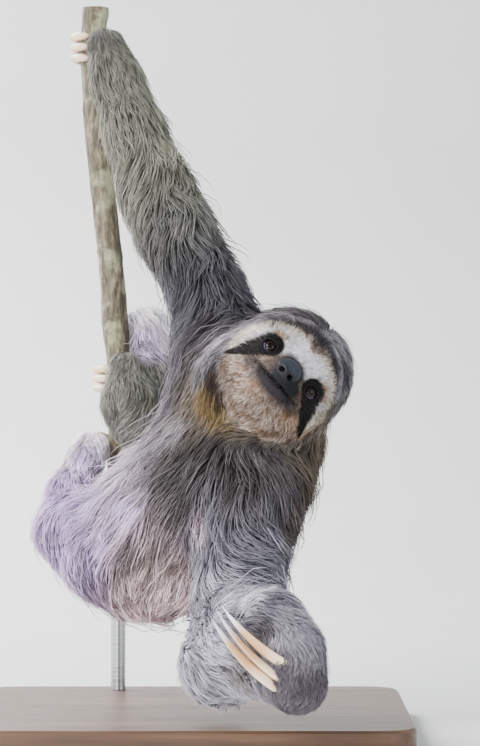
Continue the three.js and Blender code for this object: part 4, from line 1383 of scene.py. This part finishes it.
CLAW_END = 0.985  # where along the claw its last ring is
# Colours of a claw at its root, in its middle and at its tip, and of its hollow underside, which is
# brown and also painted shade where the claws lie close.
HORN = [(236, 214, 184), (202, 160, 116), (232, 230, 240)]
HORN_UNDER_AND_SHADE = (84, 52, 24)


def make_claw(name, root, tip, bend, turn, material):
    """One curved horn blade from root to tip, deep, narrow and keeled along its back."""
    root, tip, bend = (np.array(n, dtype=float) for n in (root, tip, bend))
    control = (root + tip) / 2 + bend
    across = unit(np.cross(tip - root, bend))
    around = np.linspace(0, 2 * math.pi, CLAW_SIDES, endpoint=False)
    keel = 1 - 0.25 * np.maximum(np.cos(around), 0)
    cos, sin = math.cos(math.radians(turn)), math.sin(math.radians(turn))
    rows = []
    grain = []
    for t in np.linspace(-CLAW["buried"], CLAW_END, CLAW_RINGS):
        point = (1 - t) ** 2 * root + 2 * t * (1 - t) * control + t * t * tip
        tangent = unit(2 * (1 - t) * (control - root) + 2 * t * (tip - control))
        upward = unit(np.cross(across, tangent))
        deep = upward * cos + np.cross(tangent, upward) * sin
        side = across * cos + np.cross(tangent, across) * sin
        taper = 1 - max(t, 0) ** CLAW["taper"]
        taper *= 0.3 + 0.7 * float(ramp(-CLAW["buried"], 0.07, t))
        depth = CLAW["half_depth"] * taper * np.cos(around)
        width = CLAW["half_width"] * taper * np.sin(around) * keel
        rows.append(point + np.outer(depth, deep) + np.outer(width, side))
        grain.append(np.stack([np.cos(around), np.sin(around), np.full(CLAW_SIDES, t)], 1))
    mesh = ring_mesh(name, np.array(rows))
    grain = np.concatenate([np.array(grain).reshape(-1, 3), [[0, 0, 0], [0, 0, 1]]])
    t = grain[:, 2]
    root_horn, middle_horn, tip_horn = (linear(colour) for colour in HORN)
    horn = mix(np.tile(root_horn, (len(t), 1)), middle_horn, ramp(0.2, 0.45, t))
    horn = mix(horn, tip_horn, ramp(0.62, 0.86, t))
    # The underside is painted brown and dark, partly painted shade in the narrow gaps between the claws.
    under_and_shade = ramp(-0.3, -0.8, grain[:, 0]) * ramp(0.85, 0.6, t)
    paint(mesh, mix(horn, linear(HORN_UNDER_AND_SHADE), under_and_shade * 0.85))
    vector = mesh.attributes.new("grain", "FLOAT_VECTOR", "POINT")
    vector.data.foreach_set("vector", (grain * (1, 1, 0.35)).ravel())
    obj = new_object(name, mesh, material)
    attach(obj, "root")
    return obj


def make_claws():
    material = claw_material()
    for limb, (roots, tips, bend, turns) in CLAW_SETS.items():
        for place, root, tip, turn in zip(("inner", "middle", "outer"), roots, tips, turns):
            claw = make_claw(f"horn_{limb}_{place}", root, tip, bend, turn, material)
            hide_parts(f"claw_{limb}_{place}")


# ---------------------------------------------------------------- perch and stand

STEM_LINE = [
    (-60, 115, 160),
    (-59, 116, 225),
    (-60, 115, 300),
    (-66, 115, 375),
    (-74, 114, 430),
    (-78, 115, 500),
    (-79, 115, 580),
]
STEM_RADIUS = 10.2
STEM_FOOT = 172
STEM_RINGS = 260
STEM_SIDES = 72


def stem_middle(z):
    """The stem's middle line, smooth through its points, at a height."""
    points = np.array(STEM_LINE, dtype=float)
    fit_x = np.polyfit(points[:, 2], points[:, 0], 4)
    fit_y = np.polyfit(points[:, 2], points[:, 1], 3)
    return np.stack([np.polyval(fit_x, z), np.polyval(fit_y, z), z], 1)


def make_stem():
    heights = np.linspace(STEM_FOOT, STEM_LINE[-1][2], STEM_RINGS)
    middle = stem_middle(heights)
    around = np.linspace(0, 2 * math.pi, STEM_SIDES, endpoint=False)
    circle = np.stack([np.cos(around), np.sin(around), np.zeros(STEM_SIDES)], 1)
    rings = middle[:, None] + STEM_RADIUS * circle[None]
    flat = rings.reshape(-1, 3)
    ridge = noise(flat * [1, 1, 0.2], 2.2) * 1.1 + noise(flat * [1, 1, 0.5], 6.5, 1) * 1.6 - 1.5
    knots = 1.2 * ramp(0.78, 0.95, noise(flat, 24, 2))
    out = np.repeat(circle[None], len(heights), 0).reshape(-1, 3)
    rings = (flat + out * (ridge + knots)[:, None]).reshape(rings.shape)
    mesh = ring_mesh("stem", rings)
    obj = new_object("stem_bark", mesh, bark_material(), sawn_material())
    end_faces = len(mesh.polygons) - 2 * len(around)
    for polygon in mesh.polygons[end_faces:]:
        polygon.material_index = 1
        polygon.use_smooth = False
    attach(obj, "root")
    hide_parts("perch_stem")


def dress_stand():
    board, steel = board_material(), steel_material()
    for node, material in (("stand_base", board), ("stand_rod", steel), ("stand_collar", steel)):
        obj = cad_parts[node]
        obj.data.materials.clear()
        obj.data.materials.append(material)


# ---------------------------------------------------------------- studio

CAMERA_AT = (0.040, -2.075, 0.280)
PIXEL = 0.75  # millimetres to a pixel of the frame, 2 m from the camera
FRAME_HEIGHT = 746
SENSOR = 36.0
LIT_PLACE = (0.0, 0.0, 0.26)
# Lights: name, place, size, power and colour.
LIGHTS = [
    ("key", (-1.3, -1.5, 1.7), 1.1, 74, (1.0, 0.98, 0.95)),
    ("low", (-0.9, -1.5, 0.12), 1.0, 26, (1.0, 0.97, 0.97)),
    ("fill", (1.8, -1.6, 0.7), 1.6, 24, (0.92, 0.96, 1.0)),
    ("rim", (-1.2, 1.3, 1.4), 0.9, 120, (0.98, 0.94, 1.0)),
    ("side", (-1.7, -0.2, 0.5), 0.8, 30, (0.97, 0.95, 1.0)),
]
# The sweep behind the part: half width, front edge, back wall, bend between them, and height.
SWEEP = {"span": 4.0, "front": -3.0, "wall": 1.6, "bend": 0.6, "rise": 2.4, "below": 0.0005}


def make_camera():
    data = bpy.data.cameras.new("camera")
    data.sensor_fit = "VERTICAL"
    data.sensor_height = SENSOR
    data.lens = SENSOR * 2000 / (FRAME_HEIGHT * PIXEL)
    data.clip_start = 0.05
    camera = bpy.data.objects.new("camera", data)
    camera.location = CAMERA_AT
    camera.rotation_euler = (math.pi / 2, 0, 0)
    bpy.context.scene.collection.objects.link(camera)
    bpy.context.scene.camera = camera


def add_light(name, at, size, power, colour):
    data = bpy.data.lights.new(name, "AREA")
    data.shape = "DISK"
    data.size = size
    data.energy = power
    data.color = colour
    light = bpy.data.objects.new(name, data)
    light.location = at
    aim = bpy.data.objects.new(name + "_aim", None)
    aim.location = LIT_PLACE
    bpy.context.scene.collection.objects.link(aim)
    bpy.context.scene.collection.objects.link(light)
    track = light.constraints.new("TRACK_TO")
    track.target = aim
    track.track_axis = "TRACK_NEGATIVE_Z"
    track.up_axis = "UP_Y"


def make_studio():
    world = bpy.data.worlds.new("studio")
    world.use_nodes = True
    background = world.node_tree.nodes["Background"]
    background.inputs["Color"].default_value = (0.86, 0.9, 0.95, 1)
    background.inputs["Strength"].default_value = 0.95
    bpy.context.scene.world = world
    for light in LIGHTS:
        add_light(*light)

    span, wall, bend = SWEEP["span"], SWEEP["wall"], SWEEP["bend"]
    profile = [(SWEEP["front"], 0.0), (wall - bend, 0.0)]
    for angle in np.linspace(0, math.pi / 2, 13)[1:]:
        profile.append((wall - bend + bend * math.sin(angle), bend - bend * math.cos(angle)))
    profile.append((wall, SWEEP["rise"]))
    points = [(x, y, z - SWEEP["below"]) for x in (-span, span) for y, z in profile]
    count = len(profile)
    faces = [(n, n + count, n + count + 1, n + 1) for n in range(count - 1)]
    mesh = bpy.data.meshes.new("sweep")
    mesh.from_pydata(points, [], faces)
    material, tree, shader, place = new_material("sweep", Roughness=0.9)
    shade = noise_node(tree, place, 3)
    pale = colour_ramp(tree, shade, [(0.3, (205, 208, 204)), (0.7, (212, 215, 211))])
    tree.links.new(pale, shader.inputs["Base Color"])
    new_object("sweep", mesh, material)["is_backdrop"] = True


# ---------------------------------------------------------------- the model

FLESH = ["head", "muzzle", "jaw", "neck", "trunk", "tail"]
FLESH += [f"{part}_{side}" for part in ("upper_arm", "forearm", "hand") for side in ("left", "right")]
FLESH += [f"{part}_{side}" for part in ("thigh", "shank", "foot") for side in ("left", "right")]

make_camera()
make_studio()

skin = make_skin()
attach(skin, "root")
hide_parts(*FLESH)

nose = make_nose()
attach(nose, "root")
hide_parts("nose")

eye_look = eye_material()
make_eye(-1, eye_look)
make_eye(1, eye_look)
make_coat(skin)
make_claws()
make_stem()
dress_stand()

boxes = {"cad": cad_box, "visual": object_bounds()}
plain = {name: [[float(n) for n in corner] for corner in box] for name, box in boxes.items()}
